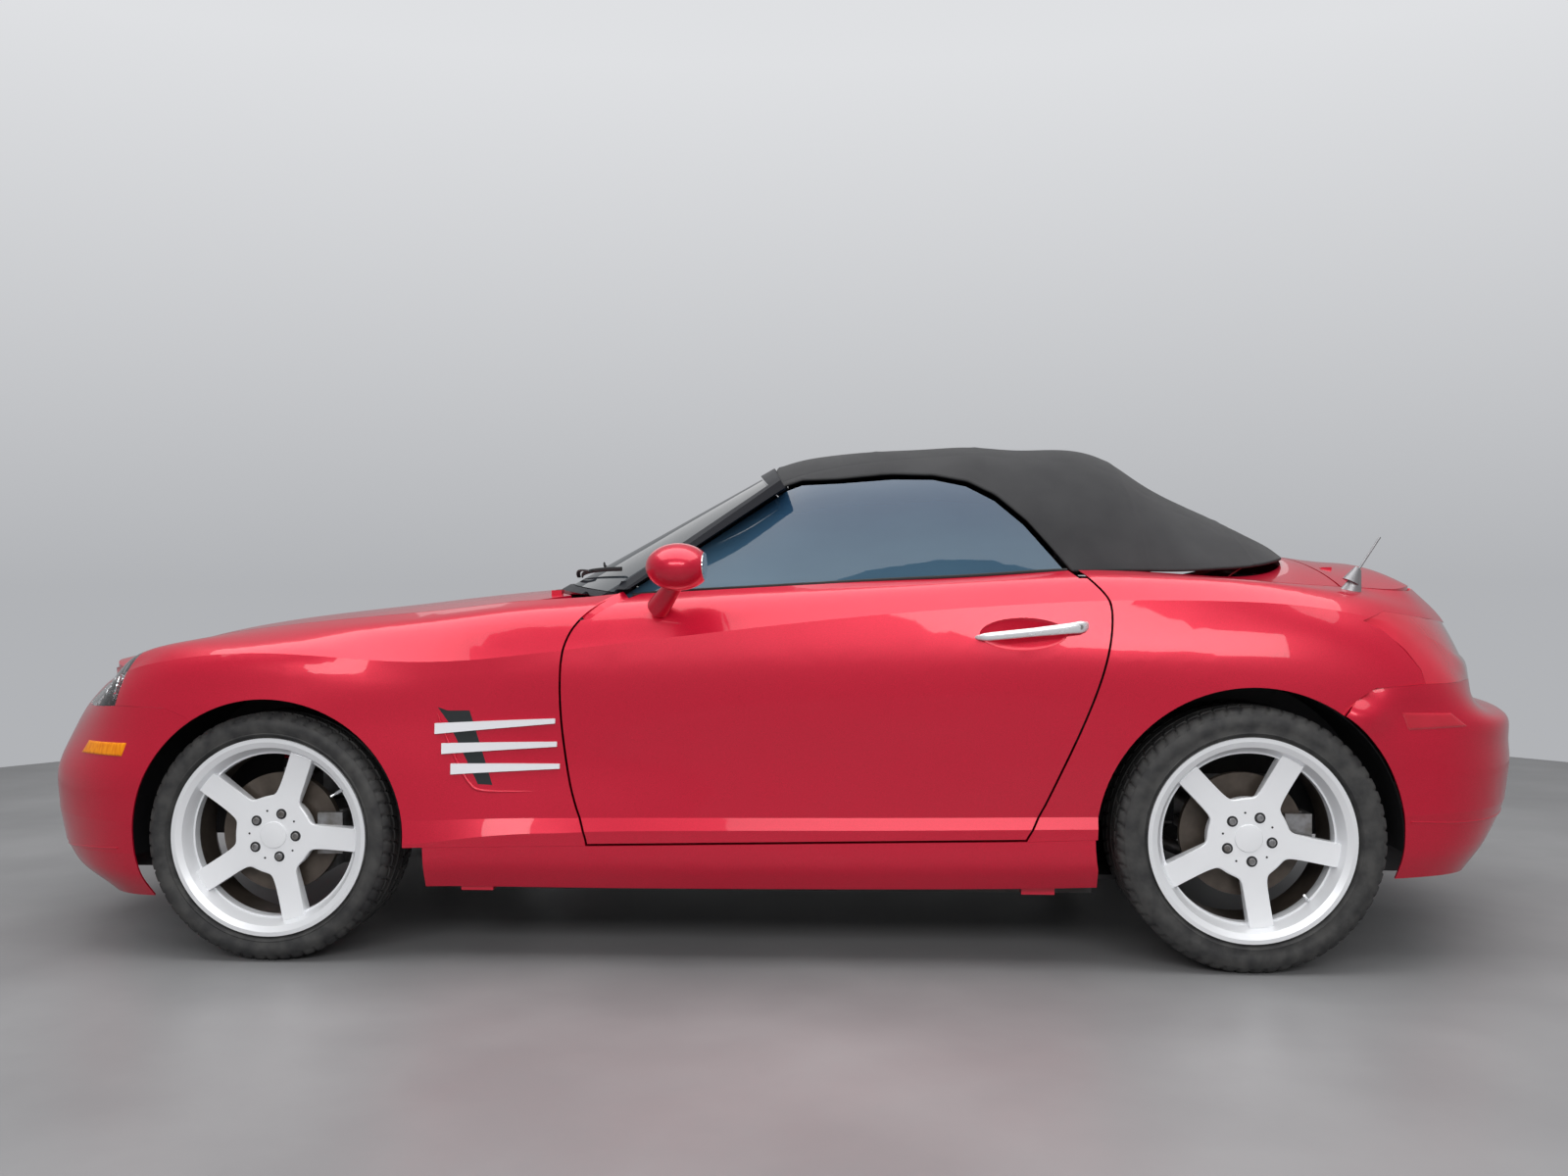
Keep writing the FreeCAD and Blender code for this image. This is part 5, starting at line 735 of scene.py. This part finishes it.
# Tyres: grooves in metres, tread blocks per turn, the outline of a side as (circle, inwards of the half width, rise)
tread = {
    "steps": 480, "pitches": 60, "groove": 0.0045, "depth": 0.006, "grooves": (-.30, -.10, .10, .30),
    "shoulder": 0.024, "beadRadius": 0.2325, "rimRadius": 0.2465,
    "side": [("bead", 0.026, 0.0), ("rim", 0.0185, -0.004), ("rim", 0.0165, 0.003), ("rim", 0.0085, 0.0075),
             ("rim", 0.0040, 0.0105), ("rim", 0.0048, 0.0130), ("middle", 0.0012, -0.008), ("middle", 0.0, 0.0),
             ("middle", 0.0008, 0.008), ("top", 0.0050, -0.0165), ("top", 0.0062, -0.0150),
             ("top", 0.0075, -0.0150), ("top", 0.0110, -0.0085), ("top", 0.0170, -0.0035), ("top", 0.024, 0.0)],
}
wheels = [
    (word, x, sideSign * track, radius, width) for word, x, sideSign, track, radius, width in (
        ("front_left", car["frontAxleX"], -1, car["frontTrack"], car["frontRadius"], 0.225),
        ("front_right", car["frontAxleX"], 1, car["frontTrack"], car["frontRadius"], 0.225),
        ("rear_left", car["rearAxleX"], -1, car["rearTrack"], car["rearRadius"], 0.255),
        ("rear_right", car["rearAxleX"], 1, car["rearTrack"], car["rearRadius"], 0.255))]


# Tyre: one closed section turned round the axle; grooves cut its radius where the tread's masks say so
def tyreGrid(x, y, radius, width):
    half = width / 2
    circles = {"bead": tread["beadRadius"], "rim": tread["rimRadius"], "middle": (tread["rimRadius"] + radius) / 2,
               "top": radius}
    side = np.array([(half - inwards, circles[circle] + rise) for circle, inwards, rise in tread["side"]])
    flat = np.linspace(half - tread["shoulder"], tread["shoulder"] - half, 58)[1:-1]
    crown = np.stack([flat, np.full(len(flat), radius)], -1)
    section = np.concatenate([side, crown, side[::-1] * [-1, 1]])
    turn = fullTurn(tread["steps"])
    a, r = np.repeat(section[:, :1], len(turn), 1), np.repeat(section[:, 1:], len(turn), 1)
    onTread = r > radius - 0.012
    channels = np.min(np.abs(a[..., None] - np.array(tread["grooves"]) * width), -1) < tread["groove"]
    phase = (turn[None] * tread["pitches"] / (2 * np.pi) + np.abs(a) / width * 2.2 + (a > 0) * 0.5) % 1
    outerBlocks = np.abs(a) > 0.32 * width
    innerBlocks = (np.abs(a) < 0.28 * width) & (np.abs(a) > 0.12 * width)
    cuts = ((phase < 0.25) & outerBlocks) | ((phase < 0.13) & innerBlocks)
    deep = onTread * np.maximum(channels * (np.abs(a) < half - 0.03), cuts * 0.75) * tread["depth"]
    r = r - deep
    return np.stack([x + r * np.sin(turn), y + a, radius + r * np.cos(turn)], -1)


for word, x, y, radius, width in wheels:
    name = "tyreTread_" + word
    tyre = makePiece(name, tyreGrid(x, y, radius, width), rubberLook, "wheel_" + word,
                     closeRows=True, closeColumns=True, crease=35)
    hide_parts("tyre_" + word)
print("tyres done")

# Wheel faces: distances from the wheel's middle plane outwards, phases as the wheels stand at rest
face = {
    "inner": 0.098, "reach": 0.2155, "spoke": 0.0288, "lift": 0.005, "climb": 0.0125, "climbStart": 0.125,
    "edge": 0.0045, "boltCircle": 0.056, "bolt": (0.0135, 0.0085, 0.0035), "hole": (0.062, 0.0028),
    "cap": 0.034, "valve": 0.2035, "phase": {"front": -15.0, "rear": -7.5}, "valveTurn": {"front": 36, "rear": 108},
}


# Star of five spokes: outline radius min(reach, (inner^7 + (spoke / sin turn)^7)^(1/7)), top rounded at its edge
def starGrid(steps=720, rings=16):
    turn = fullTurn(steps)
    off = np.abs((turn / (2 * np.pi / 5) + 0.5) % 1 - 0.5) * 2 * np.pi / 5
    side = face["spoke"] / np.maximum(np.sin(off), 1e-3)
    outline = np.minimum((face["inner"] ** 7 + np.minimum(side, 9) ** 7) ** (1 / 7), face["reach"])
    share = np.concatenate([np.linspace(0, 0.80, 6), 1 - (1 - np.linspace(0.82, 1, rings - 6)) ** 1.6])
    share = np.append(share, [1.0, 1.0])
    radius = share[:, None] * outline[None]
    inset = outline[None] * (1 - share[:, None])
    rise = face["lift"] + face["climb"] * np.clip((radius - face["climbStart"]) / 0.09, 0, 1) ** 1.5
    fall = face["edge"] * (1 - np.sqrt(np.clip(1 - (1 - np.clip(inset / face["edge"], 0, 1)) ** 2, 0, 1)))
    height = rise - fall
    height[-1] = -0.004
    return radius, turn[None] + 0 * radius, height


def together(grids, columns):  # several grids of one size as one list of points and faces
    faces = [gridFaces(g.shape[0], columns, False, True) + i * g.shape[0] * columns for i, g in enumerate(grids)]
    return np.concatenate([g.reshape(-1, 3) for g in grids]), np.concatenate(faces)


for word, x, y, radius, width in wheels:
    out = -1 if y < 0 else 1
    axle, body = word.split("_")[0], "wheel_" + word
    phase = math.radians(face["phase"][axle])
    disc = y + out * (width / 2 - 0.052)
    centre, way = np.array([x, disc, radius]), np.array([0, out, 0])

    def onFace(turn, reach, lift):  # turn from the first spoke, seen from the left side of the car
        angle = phase + np.pi / 5 + turn
        return np.stack([x - out * reach * np.sin(angle), disc + out * lift + 0 * reach,
                         radius + reach * np.cos(angle)], -1)

    spokeRadius, spokeTurn, spokeHeight = starGrid()
    makePiece("wheelFace_" + word, onFace(spokeTurn, spokeRadius, spokeHeight), wheelSilver, body,
              closeColumns=True, crease=40)
    # Round each lug bolt a black disc paints the shade in its recess, and black discs between the bolts paint the
    # shade in the face's holes
    bolts, wells, holes = [], [], []
    for k in range(5):
        place = onFace(np.array(2 * np.pi * k / 5), np.array(face["boltCircle"]), np.array(face["lift"]))
        well, head, tall = face["bolt"]
        wells.append(latheGrid([-0.001, 0.0004, 0.0004], [well, well * 0.97, 0], place, way, 28))
        bolts.append(latheGrid([0, tall, tall + 0.001, tall + 0.001, tall - 0.001, tall - 0.001],
                               [head, head, head * .86, head * .5, head * .42, 0], place, way, 24))
        spot = onFace(np.array(2 * np.pi * (k + 0.5) / 5), np.array(face["hole"][0]), np.array(face["lift"]))
        holes.append(latheGrid([-0.001, 0.0004, 0.0004], [face["hole"][1], face["hole"][1] * .95, 0], spot, way, 14))
    for label, grids, columns, finish, slotName in (
            ("lugBolts_", bolts, 24, steelLook, "steel"), ("boltWellShade_", wells, 28, blackPlasticAndShade, "black_trim"),
            ("faceHoleShade_", holes, 14, blackPlasticAndShade, "black_trim")):
        points, faces = together(grids, columns)
        makePiece(label + word, points, finish, body, faces=faces)
    cap, lift = face["cap"], face["lift"]
    capGrid = latheGrid([lift - .001, lift + .0005, lift + .003, lift + .0045, lift + .005],
                        [cap, cap, cap * .95, cap * .6, 0], centre, way)
    makePiece("hubCap_" + word, capGrid, wheelSilver, body, closeColumns=True)
    foot = onFace(np.radians(face["valveTurn"][axle]), np.array(face["valve"]), np.array(0.004))
    inwards = unit(centre - foot) * [1, 0, 1]
    valveGrid = latheGrid([-.004, .012, .013, .028, .029, .029], [.0042, .0042, .0032, .0032, .0026, 0], foot,
                          inwards * 0.75 + way * 0.66, 16)
    makePiece("valve_" + word, valveGrid, chromeLook, body, closeColumns=True)
print("wheels done")

# Door handle: a bar whose ends meet the skin, (x, z) of its ends and of the skin under them, and its key lock
handle = {"front": (0.512, 0.803), "rear": (0.771, 0.829), "tall": 0.0105, "thick": 0.0075, "proud": 0.030,
          "sunk": 0.004, "skin": [[0.50, 0.802], [0.79, 0.831]], "lock": 0.0062, "lockBack": 0.016}
run = np.linspace(0, 1, 34)
handleX, handleZ = (mix(handle["front"][k], handle["rear"][k], run) for k in (0, 1))
handleSkin = np.interp(handleX, [place for place, _ in handle["skin"]],
                       skinReach("door_left", 1, handle["skin"], -1))
handleBow = handle["proud"] * np.clip(np.sin(np.pi * run), 0, 1) ** 0.35
handleTall = np.interp(run, [0, .06, .12, .5, .86, .94, 1], [.5, .85, .95, 1.0, 1.25, 1.4, 1.1]) * handle["tall"]
handlePath = np.stack([handleX, handleSkin - handleBow + handle["sunk"], handleZ], -1)
handleGrid = tubeGrid(handlePath, handle["thick"], handleTall, sides=20, power=0.8)
lockX = handle["rear"][0] - handle["lockBack"]
lockY = np.interp(lockX, handleX, handlePath[:, 1]) - handle["thick"] * 0.92
lockGrid = latheGrid([0, .0012, .0012], [handle["lock"], handle["lock"] * .9, 0],
                     (lockX, lockY, handle["rear"][1] - 0.001), (0, -1, 0), 24)
makeSides(("handle_", handleGrid, satinSilver, "door_", "silver", 60),
          ("keyLock_", lockGrid, steelLook, "door_", "steel", 38))
print("handles done")


# Lens patches on both sides' skin: corners in (x, z), the middle raised by a share that falls off at the rim
def lensPatch(name, node, corners, proud, finish, slotName, shape=(36, 16)):
    corners = np.array(corners, float)
    u = np.linspace(0, 1, shape[0])[:, None, None]
    v = np.linspace(0, 1, shape[1])[None, :, None]
    flat = (corners[0] * (1 - u) + corners[3] * u) * (1 - v) + (corners[1] * (1 - u) + corners[2] * u) * v
    skin = skinReach(node, 1, flat, -1)
    rim = (1 - np.abs(2 * u - 1) ** 10)[..., 0] * (1 - np.abs(2 * v - 1) ** 6)[..., 0]
    top = np.stack([flat[..., 0], skin - proud * np.sqrt(np.clip(rim, 0, 1)) - 0.0004, flat[..., 1]], -1)
    low = np.stack([flat[..., 0], skin + 0.002, flat[..., 1]], -1)
    # the front face, then the back face walked the other way round, make one closed band
    makePair(name, capped(np.concatenate([top, low[:, ::-1]], axis=1)), finish, "chassis", slotName, crease=50)


lensPatch("sideMarker_", "front_bumper", [(-1.772, .506), (-1.751, .537), (-1.605, .540), (-1.616, .507)], 0.004,
          amberLens, "lamp_lens")
lensPatch("sideReflector_", "rear_bumper", [(1.514, .622), (1.530, .581), (1.686, .586), (1.642, .619)], 0.003,
          redLens, "red_lens")

# Crease beads on both bumpers: thin tubes sunk in the skin over most of their height, through (x, z) points
crease = {"front": [(-1.93, .243), (-1.86, .255), (-1.75, .268), (-1.63, .276)],
          "rear": [(1.539, .361), (1.65, .355), (1.756, .352), (1.892, .353)], "radius": 0.0026, "sunk": 0.4}
for axle in ("front", "rear"):
    creaseX = np.linspace(crease[axle][0][0], crease[axle][-1][0], 60)
    creaseZ = np.interp(creaseX, *np.array(crease[axle]).T)
    creaseY = skinReach(axle + "_bumper", 1, np.stack([creaseX, creaseZ], -1), -1)
    creasePath = np.stack([creaseX, creaseY + crease["sunk"] * crease["radius"], creaseZ], -1)
    makePair(axle + "Crease_", tubeGrid(creasePath, crease["radius"], crease["radius"], sides=10), redPaint,
             "chassis", "red_paint")

# Filler under the shut line at each door's upper front corner: a flat strip behind the skin, through (x, y, z)
filler = {"path": [(-.456, -.797, .846), (-.438, -.789, .860), (-.415, -.776, .876), (-.388, -.750, .892),
                   (-.362, -.726, .904)], "half": (0.015, 0.002), "sunk": 0.008, "normal": (0, -0.9, 0.45)}
guideX, guideY, guideZ = np.array(filler["path"]).T
fillerX = np.linspace(guideX[0], guideX[-1], 40)
fillerPath = np.stack([fillerX, np.interp(fillerX, guideX, guideY) + filler["sunk"],
                       np.interp(fillerX, guideX, guideZ)], -1)
fillerGrid = tubeGrid(fillerPath, *filler["half"], normal=filler["normal"], sides=12, power=0.5)
makePair("shutFiller_", fillerGrid, redPaint, "chassis", "red_paint")

# Splash guards inwards of the bumpers' lower corners: upright black plates, partly dark sheets standing in for the
# shade under the car (x from, to, z from, to)
guard = {"front": (-1.72, -1.60, 0.19, 0.34), "rear": (1.50, 1.62, 0.20, 0.36), "y": -0.62, "thick": 0.003}
for axle in ("front", "rear"):
    fromX, toX, fromZ, toZ = guard[axle]
    guardPath = np.linspace((fromX, guard["y"], (fromZ + toZ) / 2), (toX, guard["y"], (fromZ + toZ) / 2), 12)
    plate = tubeGrid(guardPath, guard["thick"], (toZ - fromZ) / 2, sides=24, power=0.35)
    makePair("splashGuard_" + axle + "_", plate, blackPlasticAndShade, "chassis", "black_trim")

# Seal strips along the belt at the foot of the side glass: the roof's section and the door's top are solved in turn
seal = {"belt": (0.008, 0.0045), "beltRun": (.372, .826), "lift": 0.002, "in": 0.006, "out": 0.004, "firstZ": .70}
beltX = np.linspace(along(seal["beltRun"][0]), along(seal["beltRun"][1]), 80)


# Share of the half width at which the roof's sheet has a given height, solved from its section's formula
def shareAt(x, z):
    return np.clip(1 - (z - footLine(x)) / (crownLine(x) - footLine(x)), 0, 1) ** (1 / powerLine(x))


beltZ = np.full(len(beltX), high(seal["firstZ"]))
for _ in range(6):
    beltY = -halfLine(beltX) * shareAt(beltX, beltZ)
    beltZ = skinReach("door_left", 2, np.stack([beltX, beltY - seal["in"]], -1), 1)
beltPath = np.stack([beltX, beltY - seal["out"], beltZ + seal["lift"]], -1)
beltPath[:, 2] = np.convolve(np.pad(beltPath[:, 2], 4, mode="edge"), np.ones(9) / 9, "valid")
makePair("beltSeal_", tubeGrid(beltPath, *seal["belt"], sides=12, power=0.6), sealRubber, "door_", "black_trim")

# Antenna's fin: ellipses that shrink towards a tip above the rear end of its foot
fin = {"x": (1.434, 1.487), "y": -0.662, "tall": 0.056, "half": 0.014, "tip": (0.009, 0.0045), "sunk": 0.003}
rise, ring = np.linspace(0, 1, 14)[:, None], fullTurn(28)[None]
finLength = mix(fin["x"][1] - fin["x"][0], fin["tip"][0], rise)
finX = fin["x"][1] - finLength / 2 + finLength / 2 * np.cos(ring)
finY = fin["y"] + mix(fin["half"], fin["tip"][1], rise) * np.sin(ring)
footSkin = skinReach("quarter_panels", 2, np.stack([finX[0], finY[0]], -1), 1)
finZ = mix((footSkin - fin["sunk"])[None], footSkin.min() + fin["tall"], rise)
finGrid = capped(np.stack([finX, finY, finZ], -1))
makePiece("antennaFin", finGrid, finGray, "chassis", closeColumns=True)

# Raised lip along the front and foot of the fender vent, half sunk in the skin
lip = {"path": [(-.811, .616), (-.797, .575), (-.779, .534), (-.762, .495), (-.745, .463), (-.724, .436),
                (-.699, .4265), (-.650, .424), (-.569, .425)], "radius": 0.0048, "sunk": 0.0012}
lipT = np.linspace(0, len(lip["path"]) - 1, 60)
lipSpline = [naturalSpline(np.arange(len(lip["path"])), [point[k] for point in lip["path"]])(lipT) for k in (0, 1)]
lipSkin = skinReach("front_fenders", 1, np.stack(lipSpline, -1), -1)
lipPath = np.stack([lipSpline[0], lipSkin + lip["sunk"], lipSpline[1]], -1)
lipRadius = lip["radius"] * np.sqrt(np.clip(np.sin(np.pi * np.linspace(0.02, 0.98, 60)), 0, 1))
makePair("ventLip_", tubeGrid(lipPath, lipRadius, lipRadius, normal=(0, 1, 0), sides=12), redPaint, "chassis",
         "red_paint")

# Mirror glass: a shallow disc on the cut rear of each mirror head
mirror = {"x": .4325, "z": .741, "plane": 1.055, "radii": (.059, .070, .043), "cut": 0.8,
          "layers": [(-.001, 1.0, .985), (.0012, 1.0, .985), (.0016, .96, .94), (.0012, .94, .92), (.0012, 0, 0)]}
mirrorX = float(along(mirror["x"]) + high(mirror["radii"][0]) * mirror["cut"])
mirrorHalf = high(mirror["radii"][1:]) * math.sqrt(1 - mirror["cut"] ** 2)
ring = fullTurn(64)
mirrorY, mirrorZ = -wide(mirror["plane"]), high(mirror["z"])
mirrorDisc = np.stack([np.stack([np.full(len(ring), mirrorX + lift),
                                 mirrorY + np.cos(ring) * mirrorHalf[0] * acrossShare,
                                 mirrorZ + np.sin(ring) * mirrorHalf[1] * upShare], -1)
                       for lift, acrossShare, upShare in mirror["layers"]])
mirrorBack = np.broadcast_to(mirrorDisc[0].mean(0), (1, *mirrorDisc.shape[1:]))
makePair("mirrorGlass_", np.concatenate([mirrorDisc, mirrorBack]), chromeLook, "door_", "steel")
print("lenses, seals and mirror glass done")

# Windshield: foot and top points in the middle and at the side as shares, half widths; the wipers lie on it
screen = {"footMiddle": (.2530, .7115), "footSide": (.345, .694), "topMiddle": (.4980, .9605),
          "topSide": (.5165, .9155), "footHalf": .785, "topHalf": .605}


# Pane: both lines from foot to top run straight, and between them x and z go with the square of the share across
def panePoint(rise, share, lift=0.0):
    ends = {key: np.array([along(screen[key][0]), high(screen[key][1])]) for key in
            ("footMiddle", "footSide", "topMiddle", "topSide")}
    rise, share, lift = (np.asarray(part, float)[..., None] for part in (rise, share, lift))
    middle, side = (mix(ends["foot" + part], ends["top" + part], rise) for part in ("Middle", "Side"))
    line = mix(middle, side, share ** 2)
    y = mix(wide(screen["footHalf"]), wide(screen["topHalf"]), rise) * share
    slope = unit(ends["topMiddle"] - ends["footMiddle"])
    return np.concatenate([line[..., :1] - slope[1] * lift, y, line[..., 1:] + slope[0] * lift], -1)


for word, pivot, tip in (("left", (0.035, -0.10), (0.16, -0.86)), ("right", (0.035, 0.62), (0.16, -0.08))):
    t = np.linspace(0, 1, 24)
    arm = panePoint(mix(pivot[0], tip[0], t * 0.5), mix(pivot[1], tip[1], t * 0.55),
                    0.010 + 0.010 * np.sin(np.pi * t))
    blade = panePoint(mix(pivot[0], tip[0], 0.12 + 0.88 * t), mix(pivot[1], tip[1], t), 0.007)
    for name, path, across, up, finish in (("wiperArm_", arm, 0.006, 0.003, blackPlasticAndShade),
                                           ("wiperBlade_", blade, 0.003, 0.006, sealRubber)):
        makePiece(name + word, tubeGrid(path, across, up, sides=10, power=0.7), finish, "chassis",
                  closeColumns=True)

# Headlamp inwards of its clear lens: two chrome bowls turned forwards, each with a glass eye
lamp = {"eyes": ((0.715, 0.668, 0.036), (0.640, 0.664, 0.030)), "sunk": 0.012, "way": (-0.93, -0.30, 0.16)}
arc, lampPieces = np.linspace(0, np.pi / 2, 10), []
for k, (eyeY, eyeZ, eyeRadius) in enumerate(lamp["eyes"], 1):
    lensX = float(skinReach("headlamps", 0, [[-eyeY, eyeZ]], -1)[0])
    spot = np.array([lensX + lamp["sunk"] + 0.45 * eyeRadius, -eyeY, eyeZ])
    bowl = latheGrid(np.array([-1.1, -1.1, -.55, 0, .12, 0, -.45, -.8, -.8]) * eyeRadius,
                     np.array([0, .45, .82, 1.0, .98, .93, .72, .40, 0]) * eyeRadius, spot, lamp["way"], 48)
    eye = latheGrid(np.concatenate([[-.5], -.5 + .52 * np.sin(arc)]) * eyeRadius,
                    np.concatenate([[0], .5 * np.cos(arc)]) * eyeRadius, spot, lamp["way"], 40)
    lampPieces += [("lampBowl%d_" % k, bowl, chromeLook, "chassis", "steel", 60),
                   ("lampEye%d_" % k, eye, eyeGlass, "chassis", "lamp_lens", 38)]
makeSides(*lampPieces)
print("headlamp bowls done")

# Rear: blank plate in its frame on the lid's slope, exhaust tips
rear = {"plate": (0.152, 0.076), "plateZ": 0.772, "tip": (0.07, 0.24), "tipRadius": 0.027, "tipReach": 0.010}
lidRise = np.array([rear["plateZ"] - rear["plate"][1], rear["plateZ"], rear["plateZ"] + rear["plate"][1]])
lidX = skinReach("trunk_lid", 0, np.stack([np.full(3, 0.012), lidRise], -1), 1)
lidLean = math.atan2(lidX[0] - lidX[2], lidRise[2] - lidRise[0])


# Plate with round corners: superellipse rings, leant back with the lid
def slab(halfY, halfUp, front, back, power=0.16, count=72):
    ring = fullTurn(count)
    cy, cu = bent(np.cos(ring), power) * halfY, bent(np.sin(ring), power) * halfUp
    layers = [(back, 0.0), (back, 1.0), (front - .0008, 1.0), (front, .985), (front, 0.0)]
    return np.stack([np.stack([lidX[1] + out * math.cos(lidLean) - cu * s * math.sin(lidLean), cy * s,
                               rear["plateZ"] + out * math.sin(lidLean) + cu * s * math.cos(lidLean)], -1)
                     for out, s in layers])


makePiece("plateFrame", slab(rear["plate"][0] + .006, rear["plate"][1] + .006, .003, -.022), blackPlasticAndShade,
          "trunk_lid", closeColumns=True)
makePiece("plateBlank", slab(*rear["plate"], .0045, .001), plateWhite, "trunk_lid", closeColumns=True)
pipe, tipY, tipZ = rear["tipRadius"], wide(rear["tip"][0]), high(rear["tip"][1])
tipEnd = (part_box("exhaust")[1].x + rear["tipReach"], -tipY, tipZ)
tipRadii = [.024, pipe + .0022, pipe + .0022, pipe + .001, pipe - .002, pipe - .003, 0]
tipGrid = latheGrid([-.10, -.10, -.004, 0, -.001, -.05, -.05], tipRadii, tipEnd, (1, 0, 0), 40)
mouthGrid = latheGrid([-.049, -.0485, -.0485], [pipe - .0032, pipe - .0034, 0], tipEnd, (1, 0, 0), 32)
makeSides(("exhaustTip_", tipGrid, chromeLook, "chassis", "steel", 38),
          ("exhaustMouth_", mouthGrid, underPaint, "chassis", "frame_paint", 38))
print("rear pieces done")

# Door card: a panel inside the door with an armrest, a bell over its height that two soft steps end along the car
card = {"x": (-0.36, 0.70), "z": (0.36, 0.872), "plane": 0.690, "thick": 0.004, "back": 0.001,
        "rest": {"x": (-0.05, 0.56), "z": 0.62, "out": 0.030, "tall": 0.035, "fade": 0.03}}
cu, cv = np.linspace(0, 1, 60)[:, None], np.linspace(0, 1, 40)[None]
cx, cz = mix(*card["x"], cu) + 0 * cv, mix(*card["z"], cv) + 0 * cu
rim = np.clip(np.minimum(np.minimum(cu, 1 - cu) * 30, np.minimum(cv, 1 - cv) * 18), 0, 1) ** 0.5
rest = card["rest"]
restEnds = (1 + np.exp((rest["x"][0] - cx) / rest["fade"])) * (1 + np.exp((cx - rest["x"][1]) / rest["fade"]))
restBump = rest["out"] * np.exp(-((cz - rest["z"]) / rest["tall"]) ** 2) / restEnds
inner = np.stack([cx, card["thick"] * rim + restBump - card["plane"], cz], -1)
outer = np.stack([cx, np.full_like(cx, -card["plane"] - card["back"]), cz], -1)
makePair("doorCard_", capped(np.concatenate([inner, outer[:, ::-1]], axis=1)), trimLeather, "door_", "leather",
         crease=50)
print("door cards done")

shot = {"eye": (0.227, -4.226, 0.933), "turn": 3.06, "dip": 0.17, "roll": -0.19, "lens": 31.95}
cameraData = bpy.data.cameras.new("camera")
cameraData.lens, cameraData.sensor_width = shot["lens"], 36.0
camera = addObject("camera", cameraData)
heading = Euler((math.radians(90 - shot["dip"]), 0, math.radians(shot["turn"]))).to_matrix()
spin = Matrix.Rotation(math.radians(shot["roll"]), 3, "Z")
camera.matrix_world = Matrix.Translation(Vector(shot["eye"])) @ (heading @ spin).to_4x4()
bpy.context.scene.camera = camera

studio = {"floorRadius": 5.0, "floor": ((0.22, 0.22, 0.225), (0.275, 0.275, 0.28)), "key": 345.0, "side": 215.0,
          "back": 20.0, "world": 0.33, "backdrop": ((0.44, 0.45, 0.47), (0.74, 0.75, 0.77)), "paleFrom": 0.35}


# Rectangular area lamp at a place, its -Z turned to what it is aimed at
def addLamp(name, place, aim, size, power):
    data = bpy.data.lights.new(name, "AREA")
    data.shape, data.size, data.size_y, data.energy = "RECTANGLE", size[0], size[1], power
    lamp = addObject(name, data)
    way = Vector(aim) - Vector(place)
    lamp.matrix_world = Matrix.Translation(Vector(place)) @ way.to_track_quat("-Z", "Y").to_matrix().to_4x4()


addLamp("topLamp", (0, -0.6, 4.8), (0, 0, 0.5), (9.0, 5.0), studio["key"])
addLamp("sideLamp", (0.4, -6.5, 3.4), (0, 0, 0.4), (7.0, 1.6), studio["side"])
addLamp("backLamp", (0, 6.0, 3.2), (0, 0, 0.4), (7.0, 1.6), studio["back"])

floorTurn = fullTurn(128)
floorPoints = np.stack([np.cos(floorTurn), np.sin(floorTurn), 0 * floorTurn], -1) * studio["floorRadius"]
floorMesh = bpy.data.meshes.new("floor")
floorMesh.from_pydata(floorPoints.tolist(), [], [list(range(len(floorTurn)))])
floor = addObject("floor", floorMesh)
floorMesh.materials.append(newMaterial("floorLook", studio["floor"][1], 0.5, tones=((1.3, 6.0), *studio["floor"]),
                                       gloss=((5.0, 5.0), 0.38, 0.5)))

# World: one soft light on the object; the camera sees a pale backdrop, lighter upwards
world = bpy.data.worlds.new("studio")
bpy.context.scene.world = world
world.use_nodes = True
sky = world.node_tree.nodes["Background"]
sky.inputs["Color"].default_value, sky.inputs["Strength"].default_value = (0.9, 0.92, 0.95, 1), studio["world"]
rising = nextNode(world, addNode(world, "ShaderNodeTexCoord"), "Generated", "ShaderNodeSeparateXYZ", "Vector")
skyTones = rampOf(world, rising, "Z", *studio["backdrop"], top=studio["paleFrom"])
backdrop = nextNode(world, skyTones, "Color", "ShaderNodeBackground", "Color")
skyMix = nextNode(world, addNode(world, "ShaderNodeLightPath"), "Is Camera Ray", "ShaderNodeMixShader", "Fac")
link(world, sky, "Background", skyMix, 1)
link(world, backdrop, "Background", skyMix, 2)
link(world, skyMix, "Shader", world.node_tree.nodes["World Output"], "Surface")
bpy.context.scene.view_settings.view_transform = "Standard"
print("camera and studio ready")
